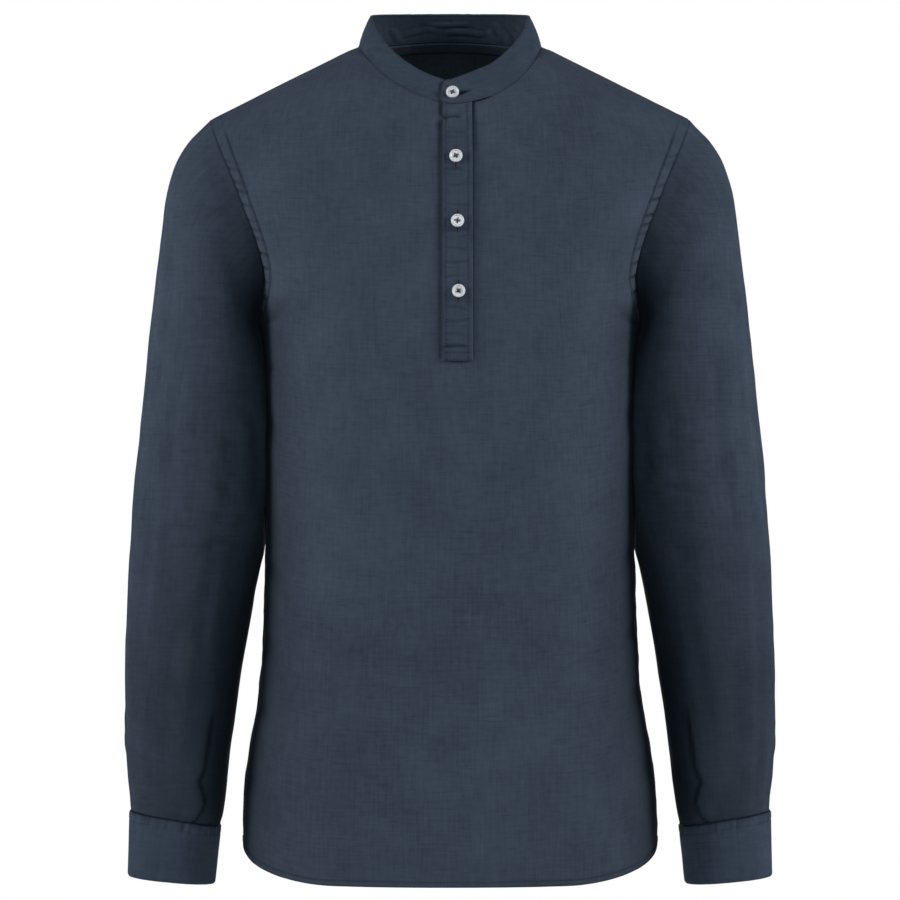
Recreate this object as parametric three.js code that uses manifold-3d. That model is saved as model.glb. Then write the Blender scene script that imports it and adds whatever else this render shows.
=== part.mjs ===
// A linen shirt with a mandarin band collar and a half placket, filled out as if worn.
// Millimetres, +Z up. The front faces -Y, and +X is the wearer's left.
// The origin is the middle of the neck, level with the inner ends of the shoulder seams.

import * as THREE from 'three';
import { mergeVertices } from 'three/addons/utils/BufferGeometryUtils.js';
import Module from 'manifold-3d';

const wasm = await Module();
wasm.setup();

// Cloth thicknesses and the air between neighbouring pieces
const CLOTH = 1.4;
const DOUBLED = 2.0;
const SEAM = 0.3;
const LAID_ON = 0.5;
const SLEEVE_JOIN = 0.45;

// Neck, shoulder and hem
const NECK_HALF = 82.3;
const NECK_DROP = { front: -59, back: 10 };
// How the front of the neck seam climbs to the shoulders. The lapped side, at the wearer's left, hangs fuller
const NECK_CLIMB = {
  right: { share: 0.5, power: 1, rest: 4 },
  left: { share: 0.72, power: 2, rest: 9 },
};
const SHOULDER_TIP = { x: 215, z: -65.7 };
const ARMPIT_Z = -252;
const HEM = { side: -714, front: -744, back: -754, flatTo: 35, curve: 1.6 };

// The body is a smooth form of level rings, each with these half widths and depths before and behind the
// side seams. Above the armpits the rings go on past the armholes, which are cut out of them.
const SQUARENESS = 2.3; // of a ring, where 2 is an ellipse
const DEPTH = [
  { z: -760, front: 117, back: 121 },
  { z: -700, front: 115, back: 121 },
  { z: -660, front: 113, back: 120 },
  { z: -624, front: 112, back: 117 },
  { z: -590, front: 112, back: 112 },
  { z: -550, front: 113, back: 106 },
  { z: -500, front: 116, back: 101 },
  { z: -444, front: 120, back: 99 },
  { z: -350, front: 130, back: 108 },
  { z: -252, front: 136, back: 123 },
  { z: -180, front: 133, back: 128 },
  { z: -120, front: 125, back: 126 },
  { z: -60, front: 118, back: 119 },
  { z: 10, front: 116, back: 114 },
];
const WIDTH = [
  { z: -760, front: 184, back: 184 },
  { z: -700, front: 186, back: 186 },
  { z: -660, front: 184, back: 184 },
  { z: -624, front: 179, back: 179 },
  { z: -590, front: 172.5, back: 172.5 },
  { z: -550, front: 169, back: 169 },
  { z: -500, front: 167, back: 167 },
  { z: -444, front: 165.6, back: 165.6 },
  { z: -350, front: 167, back: 167 },
  { z: -300, front: 168.2, back: 168.2 },
  { z: -270, front: 169.6, back: 169.8 },
  { z: ARMPIT_Z, front: 171, back: 171 },
  { z: -230, front: 174.5, back: 176.5 },
  { z: -208, front: 180, back: 186 },
  { z: -179, front: 192, back: 201 },
  { z: -142, front: 211, back: 217 },
  { z: -89, front: 236, back: 235 },
  { z: 10, front: 268, back: 265 },
];

// Over the shoulders the front and back close towards each other. At each distance from the middle: the
// height where they would meet, how sharply each leaves it (0.5 is round), and the height of the rounding
const CREST = [
  { x: 0, front: 2, back: 36, frontSharp: 1.9, backSharp: 1, drop: 130 },
  { x: 32, front: 4, back: 31, frontSharp: 1.5, backSharp: 0.94, drop: 132 },
  { x: 60, front: 5, back: 17, frontSharp: 1.0, backSharp: 0.78, drop: 136 },
  { x: NECK_HALF, front: 0, back: 0, frontSharp: 0.68, backSharp: 0.62, drop: 140 },
  { x: 110, front: -13.7, back: -13.7, frontSharp: 0.54, backSharp: 0.53, drop: 139 },
  { x: 160, front: -38.5, back: -38.5, frontSharp: 0.5, backSharp: 0.5, drop: 128 },
  { x: 215, front: -65.7, back: -65.7, frontSharp: 0.5, backSharp: 0.5, drop: 108 },
];
const CLOSING = 2.6;

// The edge of the panels at the armhole, as its distance from the middle of the body
const ARMHOLE = [
  { z: ARMPIT_Z, front: 171, back: 171 },
  { z: -230, front: 166, back: 170.5 },
  { z: -208, front: 164, back: 172 },
  { z: -179, front: 170.5, back: 179 },
  { z: -142, front: 184.5, back: 190 },
  { z: -124, front: 191.5, back: 196 },
  { z: -89, front: 206.5, back: 207.5 },
  { z: SHOULDER_TIP.z, front: 215, back: 215 },
];

// The left sleeve's sections from the armhole to the cuff: where each meets the outer and the inner
// outline, how far it reaches before and behind its middle, and how far back the middle lies
const SLEEVE = [
  { outerX: 215, outerZ: -65.7, innerX: 171, innerZ: -252, front: 75, back: 78, y: 0 },
  { outerX: 224, outerZ: -75, innerX: 174, innerZ: -254, front: 76, back: 79, y: 0 },
  { outerX: 234, outerZ: -86, innerX: 174, innerZ: -257, front: 77, back: 80, y: 0 },
  { outerX: 244, outerZ: -102, innerX: 172, innerZ: -262, front: 77, back: 80, y: 0 },
  { outerX: 250.5, outerZ: -120, innerX: 168, innerZ: -268, front: 77, back: 80, y: 0 },
  { outerX: 255, outerZ: -140, innerX: 161, innerZ: -277, front: 76, back: 78, y: 0 },
  { outerX: 259.5, outerZ: -174, innerX: 157, innerZ: -292, front: 74, back: 76, y: 0 },
  { outerX: 264.6, outerZ: -210, innerX: 154, innerZ: -312, front: 72, back: 73, y: 0 },
  { outerX: 269, outerZ: -246, innerX: 153, innerZ: -336, front: 70, back: 70, y: 1 },
  { outerX: 273.8, outerZ: -291, innerX: 153, innerZ: -366, front: 68, back: 67, y: 2 },
  { outerX: 279, outerZ: -345, innerX: 155, innerZ: -400, front: 65, back: 64, y: 3 },
  { outerX: 283.5, outerZ: -390, innerX: 160, innerZ: -432, front: 63, back: 62, y: 3 },
  { outerX: 287, outerZ: -444, innerX: 170.5, innerZ: -468, front: 61, back: 60, y: 2 },
  { outerX: 290, outerZ: -498, innerX: 179.5, innerZ: -514, front: 58, back: 58, y: 0 },
  { outerX: 291.5, outerZ: -552, innerX: 188, innerZ: -564, front: 56, back: 56, y: -3 },
  { outerX: 291.6, outerZ: -606, innerX: 195, innerZ: -616, front: 53, back: 54, y: -7 },
  { outerX: 289, outerZ: -650, innerX: 200, innerZ: -661, front: 49, back: 50, y: -10 },
  { outerX: 286.5, outerZ: -674, innerX: 203.5, innerZ: -686.5, front: 44, back: 44, y: -12 },
  { outerX: 286, outerZ: -684.4, innerX: 206, innerZ: -697.4, front: 38.5, back: 38.5, y: -12.5 },
];
const SLEEVE_SQUARENESS = 2.3;
const SLEEVE_CLEAR = 2; // between the hanging sleeve and the body beside it
const SLEEVE_EASE = 5; // rows over which the armhole's own shape turns into the sleeve's
const PLEAT = { from: 14.6, angle: 126, wide: 15, inward: 2.1, back: 2.8 }; // pressed in above the cuff

// Cuffs, each a doubled strip that laps over itself behind the wrist
const CUFF = {
  top: { outerX: 286.3, outerZ: -684.9, innerX: 206.2, innerZ: -697.9, half: 38.5 },
  bottom: { outerX: 287.8, outerZ: -743.5, innerX: 211.5, innerZ: -750.5, half: 35.5 },
  y: -12.5,
  lapAt: 302,
  lap: 34,
  rampFrom: 1.2, // the lap starts to rise this many laps before its start, and takes rampLong laps
  rampLong: 0.9,
  steps: 24,
};

// The strip that finishes the slit above each cuff: its rings and columns in the sleeve's own grid
const SLEEVE_PLACKET = { rings: [19.6, 20, 21, 22, 23, 23.9], columns: [18.7, 19, 20, 20.3] };

// Collar band: its top edge, and the two ends that lap over each other in front
const BAND = {
  halfTop: 71,
  frontTop: { y: 48, z: -35.2 },
  sideTop: 29,
  backTop: { y: 39, z: 34.4 },
  crown: 1.2,
  rise: { even: 0.4, cubed: 0.48, late: 0.12, sharp: 20 }, // how the front's top edge climbs to the sides
  underEnd: 12.6,
  upperEnd: 5.6,
  upperCorner: [[0, 1], [0.45, 0.93], [0.8, 0.78], [1, 0.55]],
  rampFrom: 324,
  rampTo: 342,
};

// Half placket: an upper strip over an under strip, set in a slot of the front
const PLACKET = { left: -6.4, right: 20, bottom: -285.6, slotInset: 1.5, belowBand: 0.8 };
const SLOT_REACH = 200;
const ROW_APART = 2;

// Buttons and where they are sewn
const BUTTON = { radius: 5.75, thick: 2.5, round: 0.8, rim: 1.2, dish: 0.7, sides: 20 };
const BUTTON_HOLE = { radius: 0.8, at: 1.25, sides: 8 };
const COLLAR_BUTTON = { angle: 1.9, up: 0.31, proud: 0.75 };
const CUFF_BUTTON = { share: 0.88, up: 0.5, proud: 0.3 };
const PLACKET_BUTTON = { proud: 0.25, acrossHalf: 4, tallHalf: 6 };
const PLACKET_BUTTONS = [
  { x: 5.2, z: -107.2 },
  { x: 6.5, z: -164.4 },
  { x: 7.4, z: -225 },
];

// Mesh fineness
const NECK_COLUMNS = 5;
const SHOULDER_COLUMNS = 7;
const BODY_ROWS = 11;
const ARMHOLE_ROWS = 11;
const SLEEVE_RINGS = 25;

const NAVY = { color: '#38424f', roughness: 0.9, metalness: 0 };
const NAVY_BAND = { color: '#353f4b', roughness: 0.9, metalness: 0 };
const PEARL = { color: '#c6cccf', roughness: 0.35, metalness: 0 };

// Small helpers

const degrees = (angle) => (angle * Math.PI) / 180;
const clamp = (value, low, high) => Math.min(Math.max(value, low), high);
const mix = (a, b, share) => a + (b - a) * share;
const power = (value, exponent) => Math.sign(value) * Math.abs(value) ** exponent;
const ease = (share) => share * share * (3 - 2 * share);

// Reads one column of a table at any place, on a smooth curve through its rows
function read(table, key, column, at) {
  const last = table.length - 1;
  const rising = table[last][key] > table[0][key] ? 1 : -1;
  let i = 0;
  while (i < last - 1 && (at - table[i + 1][key]) * rising > 0) i += 1;
  const slope = (row) => {
    const before = table[Math.max(row - 1, 0)];
    const after = table[Math.min(row + 1, last)];
    return (after[column] - before[column]) / (after[key] - before[key]);
  };
  const span = table[i + 1][key] - table[i][key];
  const s = clamp((at - table[i][key]) / span, 0, 1);
  const [a, b] = [table[i][column], table[i + 1][column]];
  const hermite = (2 * s - 3) * s * s;
  return a * (1 + hermite) - b * hermite
    + span * (slope(i) * s * (s - 1) ** 2 + slope(i + 1) * s * s * (s - 1));
}

// Body panels: a point is given by how far across the panel it is, from -1 to 1, and by its height

// How far the body reaches before or behind the side seams, at a distance from its middle and a height
function bodyReach(side, x, z) {
  const out = Math.abs(x);
  const ring = clamp(1 - (out / read(WIDTH, 'z', side, z)) ** SQUARENESS, 0, 1) ** (1 / SQUARENESS);
  const below = clamp((read(CREST, 'x', side, out) - z) / read(CREST, 'x', 'drop', out), 0, 1);
  const closed = (1 - (1 - below) ** CLOSING) ** read(CREST, 'x', `${side}Sharp`, out);
  return read(DEPTH, 'z', side, z) * ring * closed;
}

// The panel's top edge: the neck seam, and outside it the shoulder seam
function topHeight(side, across) {
  const x = Math.abs(across) * SHOULDER_TIP.x;
  if (x >= NECK_HALF) return read(CREST, 'x', side, x);
  const share = x / NECK_HALF;
  if (side === 'back') return NECK_DROP.back * (1 - share ** 2);
  const climb = across > 0 ? NECK_CLIMB.left : NECK_CLIMB.right;
  return NECK_DROP.front * (1 - mix(share ** climb.rest, share ** climb.power, climb.share));
}

function hemHeight(side, across) {
  const turned = (Math.asin(clamp(Math.abs(across), 0, 1)) * 180) / Math.PI;
  const share = clamp((turned - HEM.flatTo) / (90 - HEM.flatTo), 0, 1) ** HEM.curve;
  return mix(HEM[side], HEM.side, share);
}

function bodyPoint(side, across, z) {
  const edge = z > ARMPIT_Z ? read(ARMHOLE, 'z', side, z) : read(WIDTH, 'z', side, z);
  const forward = side === 'front' ? -1 : 1;
  return new THREE.Vector3(edge * across, forward * (bodyReach(side, edge * across, z) + SEAM / 2), z);
}

// Columns from the middle to the armhole: close at the ends of the collar and at the armhole
function columns() {
  const half = [];
  for (let i = 1; i <= NECK_COLUMNS; i += 1) {
    half.push((NECK_HALF * Math.sin(degrees((90 * i) / NECK_COLUMNS))) / SHOULDER_TIP.x);
  }
  for (let i = 1; i <= SHOULDER_COLUMNS; i += 1) {
    const share = Math.sin(degrees((90 * i) / SHOULDER_COLUMNS));
    half.push(mix(NECK_HALF / SHOULDER_TIP.x, 1, share));
  }
  return [...half.map((across) => -across).reverse(), 0, ...half];
}

// Rows as shares of the way from the hem to the top edge: even below the armpit, round the armhole above
function rows() {
  const length = SHOULDER_TIP.z - HEM.side;
  const armpit = (ARMPIT_Z - HEM.side) / length;
  const shares = [];
  for (let i = 0; i < BODY_ROWS; i += 1) shares.push((armpit * i) / BODY_ROWS);
  for (let i = 0; i <= ARMHOLE_ROWS; i += 1) {
    shares.push(mix(armpit, 1, (1 - Math.cos(degrees((180 * i) / ARMHOLE_ROWS))) / 2));
  }
  return shares;
}

function panelGrid(side) {
  const across = side === 'front' ? columns() : columns().reverse();
  return rows().map((share) => across.map((place) => {
    const z = mix(hemHeight(side, place), topHeight(side, place), share);
    return bodyPoint(side, place, z);
  }));
}

// Walls: a grid of outer points, its normals, and the closed solid between it and its inner points

function normals(grid, round) {
  const [tall, wide] = [grid.length, grid[0].length];
  return grid.map((row, i) => row.map((point, j) => {
    const left = round ? row[(j + wide - 1) % wide] : row[Math.max(j - 1, 0)];
    const right = round ? row[(j + 1) % wide] : row[Math.min(j + 1, wide - 1)];
    const along = right.clone().sub(left);
    const up = grid[Math.min(i + 1, tall - 1)][j].clone().sub(grid[Math.max(i - 1, 0)][j]);
    return along.cross(up).normalize();
  }));
}

function moved(grid, round, distance) {
  const facing = normals(grid, round);
  const shift = (point, i, j) => point.clone().addScaledVector(facing[i][j], distance);
  return grid.map((row, i) => row.map((point, j) => shift(point, i, j)));
}

function wall(outer, inner, round = false) {
  const [tall, wide] = [outer.length, outer[0].length];
  const count = tall * wide;
  const at = (i, j) => i * wide + (j % wide);
  const faces = [];
  const quad = (a, b, c, d) => faces.push([a, b, c], [a, c, d]);
  const spans = round ? wide : wide - 1;
  for (let i = 0; i < tall - 1; i += 1) {
    for (let j = 0; j < spans; j += 1) {
      const [a, b, c, d] = [at(i, j), at(i, j + 1), at(i + 1, j + 1), at(i + 1, j)];
      quad(a, b, c, d);
      quad(count + d, count + c, count + b, count + a);
    }
  }
  const rim = (a, b) => quad(b, a, count + a, count + b);
  for (let j = 0; j < spans; j += 1) {
    rim(at(0, j), at(0, j + 1));
    rim(at(tall - 1, j + 1), at(tall - 1, j));
  }
  for (let i = 0; i < tall - 1 && !round; i += 1) {
    rim(at(i, wide - 1), at(i + 1, wide - 1));
    rim(at(i + 1, 0), at(i, 0));
  }
  return solid([...outer.flat(), ...inner.flat()], faces);
}

// A closed geometry from points and triangles, turned to face outward
function solid(points, faces) {
  const volume = faces.reduce((sum, [a, b, c]) => (
    sum + points[a].dot(points[b].clone().cross(points[c]))), 0);
  const facing = volume > 0 ? faces : faces.map(([a, b, c]) => [a, c, b]);
  const geometry = new THREE.BufferGeometry();
  const numbers = points.flatMap((point) => [point.x, point.y, point.z]);
  geometry.setAttribute('position', new THREE.Float32BufferAttribute(numbers, 3));
  geometry.setIndex(facing.flat());
  geometry.computeVertexNormals();
  return geometry;
}

// Cuts one geometry by another
function cut(geometry, tools) {
  const toManifold = (source) => {
    const bare = source.clone();
    bare.deleteAttribute('normal');
    bare.deleteAttribute('uv');
    const merged = mergeVertices(bare, 1e-4);
    return new wasm.Manifold(new wasm.Mesh({
      numProp: 3,
      vertProperties: new Float32Array(merged.attributes.position.array),
      triVerts: new Uint32Array(merged.index.array),
    }));
  };
  const result = tools.reduce((left, tool) => left.subtract(toManifold(tool)), toManifold(geometry));
  const mesh = result.getMesh();
  const made = new THREE.BufferGeometry();
  made.setAttribute('position', new THREE.Float32BufferAttribute(mesh.vertProperties, 3));
  made.setIndex([...mesh.triVerts]);
  made.computeVertexNormals();
  return made;
}

// A place on one row of a panel's grid
function onRow(row, x) {
  let j = 0;
  while (j < row.length - 2 && row[j + 1].x < x) j += 1;
  return row[j].clone().lerp(row[j + 1], (x - row[j].x) / (row[j + 1].x - row[j].x));
}

// A place on a panel's grid, at its own flat faces
function onPanel(grid, x, z) {
  let i = 0;
  while (i < grid.length - 2 && onRow(grid[i + 1], x).z < z) i += 1;
  const [low, high] = [onRow(grid[i], x), onRow(grid[i + 1], x)];
  return low.lerp(high, (z - low.z) / (high.z - low.z));
}

// A strip that follows a panel between two sides, from a height up to the panel's top edge
function panelStrip(grid, sides, bottom) {
  const places = [sides[0], 0, sides[1] * 0.5, sides[1]];
  const above = grid.slice(0, -1).filter((row) => onRow(row, 0).z > bottom + ROW_APART);
  const top = places.map((x) => onPanel(grid, x, onRow(grid[grid.length - 1], x).z - PLACKET.belowBand));
  return [
    places.map((x) => onPanel(grid, x, bottom)),
    ...above.map((row) => places.map((x) => onRow(row, x))),
    top,
  ];
}

// Pieces of the body

const frontGrid = panelGrid('front');
const backGrid = panelGrid('back');

// Keeps the inner points of a panel on its own side of the side and shoulder seams
function innerPanel(grid, side) {
  const forward = side === 'front' ? -1 : 1;
  const inner = moved(grid, false, -CLOTH);
  inner.flat().forEach((point) => {
    point.y = forward * Math.max(forward * point.y, SEAM / 2);
  });
  return inner;
}

const frontInner = innerPanel(frontGrid, 'front');
const backInner = innerPanel(backGrid, 'back');

function frontPanel() {
  const left = PLACKET.left + PLACKET.slotInset;
  const right = PLACKET.right - PLACKET.slotInset;
  const bottom = PLACKET.bottom + PLACKET.slotInset;
  const slot = new THREE.BoxGeometry(right - left, SLOT_REACH, -bottom);
  slot.translate((left + right) / 2, -SLOT_REACH / 2, bottom / 2);
  return cut(wall(frontGrid, frontInner), [slot]);
}

function underPlacket() {
  const inset = PLACKET.slotInset + LAID_ON;
  const strip = panelStrip(frontGrid, [PLACKET.left + inset, PLACKET.right - inset], PLACKET.bottom + inset);
  return wall(strip, moved(strip, false, -CLOTH));
}

const upperStrip = panelStrip(frontGrid, [PLACKET.left, PLACKET.right], PLACKET.bottom);

function upperPlacket() {
  return wall(moved(upperStrip, false, LAID_ON + DOUBLED), moved(upperStrip, false, LAID_ON));
}

// Collar band: an angle of 0 is the middle of the front, and it grows towards the wearer's left

function bandPoint(angle, up, out) {
  const [sine, cosine] = [Math.sin(angle), Math.cos(angle)];
  const front = cosine >= 0;
  const across = (NECK_HALF * sine) / SHOULDER_TIP.x;
  const low = bodyPoint(front ? 'front' : 'back', across, topHeight(front ? 'front' : 'back', across));
  const turned = Math.abs(sine);
  const { even, cubed, late, sharp } = BAND.rise;
  const climb = even * turned + cubed * turned ** 3 + late * turned ** sharp;
  const topY = front ? -BAND.frontTop.y : BAND.backTop.y;
  const topZ = front
    ? mix(BAND.frontTop.z, BAND.sideTop, climb)
    : mix(BAND.sideTop, BAND.backTop.z, Math.abs(cosine));
  const high = new THREE.Vector3(BAND.halfTop * sine, topY * Math.abs(cosine), topZ);
  const rise = high.clone().sub(low);
  const around = new THREE.Vector3(cosine, sine, 0);
  const facing = around.clone().cross(rise).normalize();
  const lift = (LAID_ON + up * (rise.length() - LAID_ON)) / rise.length();
  const crown = BAND.crown * Math.sin(Math.PI * up);
  return low.addScaledVector(rise, lift).addScaledVector(facing, crown + out);
}

function collarBand() {
  const step = 90 / NECK_COLUMNS;
  const places = [{ angle: BAND.underEnd, top: 1 }];
  for (let angle = 0; angle > -360; angle -= step) places.push({ angle, top: 1 });
  BAND.upperCorner.forEach(([share, top]) => {
    places.push({ angle: -360 - BAND.upperEnd * share, top });
  });
  const layer = (inward) => [0, 1 / 3, 2 / 3, 1].map((up) => places.map(({ angle, top }) => {
    const lapped = clamp((-angle - BAND.rampFrom) / (BAND.rampTo - BAND.rampFrom), 0, 1);
    const out = ease(lapped) * (DOUBLED + LAID_ON);
    return bandPoint(degrees(angle), up * top, out - inward);
  }));
  return wall(layer(0), layer(DOUBLED));
}

// Sleeves: a ring is given by its place in the table, and an angle of 0 is its outer side

const ringCount = 2 * ARMHOLE_ROWS;

// The half width of the body beside a sleeve, at this distance before or behind the side seam
function bodyBeside(y, z) {
  const side = y < 0 ? 'front' : 'back';
  const ring = clamp(1 - (Math.abs(y) / read(DEPTH, 'z', side, z)) ** SQUARENESS, 0, 1);
  return read(WIDTH, 'z', side, Math.min(z, ARMPIT_Z)) * ring ** (1 / SQUARENESS);
}

function sleevePoint(place, angle) {
  const table = SLEEVE.map((row, index) => ({ ...row, index }));
  const at = (column) => read(table, 'index', column, place);
  const cosine = power(Math.cos(angle), 2 / SLEEVE_SQUARENESS);
  const sine = power(Math.sin(angle), 2 / SLEEVE_SQUARENESS);
  const across = (1 + cosine) / 2;
  const point = new THREE.Vector3(
    mix(at('innerX'), at('outerX'), across),
    at('y') - sine * (sine > 0 ? at('front') : at('back')),
    mix(at('innerZ'), at('outerZ'), across),
  );
  const turned = Math.abs((angle * 180) / Math.PI - PLEAT.angle) / PLEAT.wide;
  const pressed = clamp((place - PLEAT.from) / (SLEEVE.length - 1 - PLEAT.from), 0, 1);
  const pleat = Math.max(1 - turned, 0) * Math.sin(Math.PI * pressed);
  point.x -= pleat * PLEAT.inward;
  point.y -= pleat * PLEAT.back;
  if (place > 1) {
    point.x = Math.max(point.x, bodyBeside(point.y, point.z) + SLEEVE_CLEAR);
  }
  return point;
}

// The armhole's rim as a ring of points: down the front's edge from the shoulder, and up the back's
function armholeRim(front, back) {
  const top = front.length - 1;
  const down = front.slice(top - ARMHOLE_ROWS).reverse().map((row) => row[row.length - 1]);
  const up = back.slice(top - ARMHOLE_ROWS).map((row) => row[0]);
  const middle = (a, b) => a.clone().lerp(b, 0.5);
  return [
    middle(down[0], up[ARMHOLE_ROWS]),
    ...down.slice(1, ARMHOLE_ROWS).map((point) => point.clone()),
    middle(down[ARMHOLE_ROWS], up[0]),
    ...up.slice(1, ARMHOLE_ROWS).map((point) => point.clone()),
  ];
}

// The way out of the armhole at each point of its rim: along the cloth that ends there, square to the rim
function armholeWays() {
  const top = frontGrid.length - 1;
  const edges = armholeRim(frontGrid, backGrid);
  const insideFront = frontGrid.map((row) => [row[row.length - 2]]);
  const insideBack = backGrid.map((row) => [row[1]]);
  const inside = armholeRim(insideFront, insideBack);
  inside[0].copy(edges[0]).add(new THREE.Vector3(NECK_HALF - SHOULDER_TIP.x, 0, -SHOULDER_TIP.z));
  inside[ARMHOLE_ROWS].copy(frontGrid[top - ARMHOLE_ROWS - 1][frontGrid[0].length - 1]);
  return edges.map((edge, j) => {
    const before = edges[(j + ringCount - 1) % ringCount];
    const rim = edges[(j + 1) % ringCount].clone().sub(before).normalize();
    const out = edge.clone().sub(inside[j]);
    return out.addScaledVector(rim, -out.dot(rim)).normalize();
  });
}

function sleeveGrids() {
  const ways = armholeWays();
  const joinedTo = (front, back) => (
    armholeRim(front, back).map((point, j) => point.addScaledVector(ways[j], SLEEVE_JOIN)));
  const start = joinedTo(frontGrid, backGrid);
  const last = SLEEVE.length - 1;
  const outer = [start];
  for (let i = 1; i < SLEEVE_RINGS; i += 1) {
    const place = (last * i) / (SLEEVE_RINGS - 1);
    const joined = 1 - ease(clamp(place / SLEEVE_EASE, 0, 1));
    outer.push(start.map((_, j) => {
      const angle = (2 * Math.PI * j) / ringCount;
      const armhole = sleevePoint(0, angle);
      const shift = start[j].clone().sub(armhole).multiplyScalar(joined);
      return sleevePoint(place, angle).add(shift);
    }));
  }
  const inner = moved(outer, true, -CLOTH);
  inner[0] = joinedTo(frontInner, backInner);
  return { outer, inner };
}

const sleeve = sleeveGrids();

const mirrored = (grid) => grid.map((row) => row.map((point) => point.clone().setX(-point.x)));

function sleeveSolid(side) {
  const grids = side > 0 ? [sleeve.outer, sleeve.inner] : [mirrored(sleeve.outer), mirrored(sleeve.inner)];
  return wall(grids[0], grids[1], true);
}

// A place on the sleeve's grid between its rings and columns
function onSleeve(ring, column) {
  const [i, j] = [Math.min(Math.floor(ring), SLEEVE_RINGS - 2), Math.floor(column)];
  const along = (row) => row[j % ringCount].clone().lerp(row[(j + 1) % ringCount], column - j);
  return along(sleeve.outer[i]).lerp(along(sleeve.outer[i + 1]), ring - i);
}

function sleevePlacket(side) {
  const { rings, columns: places } = SLEEVE_PLACKET;
  const strip = rings.map((ring) => places.map((column) => onSleeve(ring, column)));
  const layers = [LAID_ON + DOUBLED, LAID_ON].map((out) => moved(strip, false, out));
  const [outer, inner] = side > 0 ? layers : layers.map(mirrored);
  return wall(outer, inner);
}

// Cuffs

function cuffPoint(up, angle, out) {
  const at = (column) => mix(CUFF.bottom[column], CUFF.top[column], up);
  const half = at('half');
  const wide = (at('outerX') - at('innerX')) / 2;
  const squared = 2 / SLEEVE_SQUARENESS;
  const cosine = power(Math.cos(angle), squared);
  const sine = power(Math.sin(angle), squared);
  return new THREE.Vector3(
    (at('outerX') + at('innerX')) / 2 + cosine * (wide + out),
    CUFF.y - sine * (half + out),
    mix(at('innerZ'), at('outerZ'), (1 + cosine) / 2),
  );
}

function cuffSolid(side) {
  const places = [];
  const turn = 360 + CUFF.lap;
  for (let i = 0; i <= CUFF.steps; i += 1) places.push(CUFF.lapAt + (turn * i) / CUFF.steps);
  const layer = (inward) => [0, 0.5, 1].map((up) => places.map((angle) => {
    const past = (angle - CUFF.lapAt - 360) / CUFF.lap;
    const lapped = clamp((past + CUFF.rampFrom) / CUFF.rampLong, 0, 1);
    const out = ease(lapped) * (DOUBLED + LAID_ON) - inward;
    const point = cuffPoint(up, degrees(angle), out);
    return point.setX(side * point.x);
  }));
  return wall(layer(0), layer(DOUBLED));
}

// Buttons: a turned disc with a rim, a dish and four holes, its axis along +Y

function buttonGeometry() {
  const { radius, thick, round, rim, dish, sides } = BUTTON;
  const profile = [
    [0, 0], [radius - round, 0], [radius, round], [radius, thick - round], [radius - round / 2, thick],
    [radius - rim, thick], [radius - rim - dish, thick - dish], [0, thick - dish],
  ].map(([r, y]) => new THREE.Vector2(r, y));
  const disc = new THREE.LatheGeometry(profile, sides);
  const drill = new THREE.CylinderGeometry(
    BUTTON_HOLE.radius, BUTTON_HOLE.radius, 3 * thick, BUTTON_HOLE.sides);
  const drills = [[1, 1], [1, -1], [-1, -1], [-1, 1]].map(([x, z]) => (
    drill.clone().translate(x * BUTTON_HOLE.at, 0, z * BUTTON_HOLE.at)));
  return cut(disc, drills);
}

const buttonShape = buttonGeometry();

function placeButton(name, seat, facing, sizeShare = 1) {
  const button = new THREE.Mesh(buttonShape.clone(), new THREE.MeshStandardMaterial(PEARL));
  button.name = name;
  button.geometry.scale(sizeShare, sizeShare, sizeShare);
  button.position.copy(seat).addScaledVector(facing, SEAM);
  button.quaternion.setFromUnitVectors(new THREE.Vector3(0, 1, 0), facing);
  return button;
}

function placketButton(name, { x, z }) {
  const near = [-1, 0, 1].map((up) => [-1, 0, 1].map((across) => (
    onPanel(frontGrid, x + across * PLACKET_BUTTON.acrossHalf, z + up * PLACKET_BUTTON.tallHalf))));
  const facing = normals(near, false)[1][1];
  const seat = near[1][1].clone().addScaledVector(facing, LAID_ON + DOUBLED + PLACKET_BUTTON.proud);
  return placeButton(name, seat, facing);
}

function collarButton() {
  const angle = degrees(COLLAR_BUTTON.angle);
  const out = DOUBLED + LAID_ON;
  const seat = bandPoint(angle, COLLAR_BUTTON.up, out + COLLAR_BUTTON.proud);
  const facing = seat.clone().sub(bandPoint(angle, COLLAR_BUTTON.up, out)).normalize();
  return placeButton('button_collar', seat, facing);
}

function cuffButton(name, side) {
  const angle = degrees(CUFF.lapAt + CUFF.lap / 2);
  const seat = cuffPoint(CUFF_BUTTON.up, angle, DOUBLED + LAID_ON + CUFF_BUTTON.proud);
  const facing = seat.clone().sub(cuffPoint(CUFF_BUTTON.up, angle, 0)).normalize();
  [seat, facing].forEach((vector) => vector.setX(side * vector.x));
  return placeButton(name, seat, facing, CUFF_BUTTON.share);
}

// The shirt

function piece(name, geometry, finish = NAVY) {
  const mesh = new THREE.Mesh(geometry, new THREE.MeshStandardMaterial(finish));
  mesh.name = name;
  return mesh;
}

const shirt = new THREE.Group();
shirt.add(
  piece('front', frontPanel()),
  piece('back', wall(backGrid, backInner)),
  piece('placket_under', underPlacket()),
  piece('placket_upper', upperPlacket()),
  piece('collar_band', collarBand(), NAVY_BAND),
  piece('sleeve_left', sleeveSolid(1)),
  piece('sleeve_right', sleeveSolid(-1)),
  piece('sleeve_placket_left', sleevePlacket(1)),
  piece('sleeve_placket_right', sleevePlacket(-1)),
  piece('cuff_left', cuffSolid(1), NAVY_BAND),
  piece('cuff_right', cuffSolid(-1), NAVY_BAND),
  collarButton(),
  ...PLACKET_BUTTONS.map((spot, i) => placketButton(`button_placket_${i + 1}`, spot)),
  cuffButton('button_cuff_left', 1),
  cuffButton('button_cuff_right', -1),
);

export default shirt;
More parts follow.
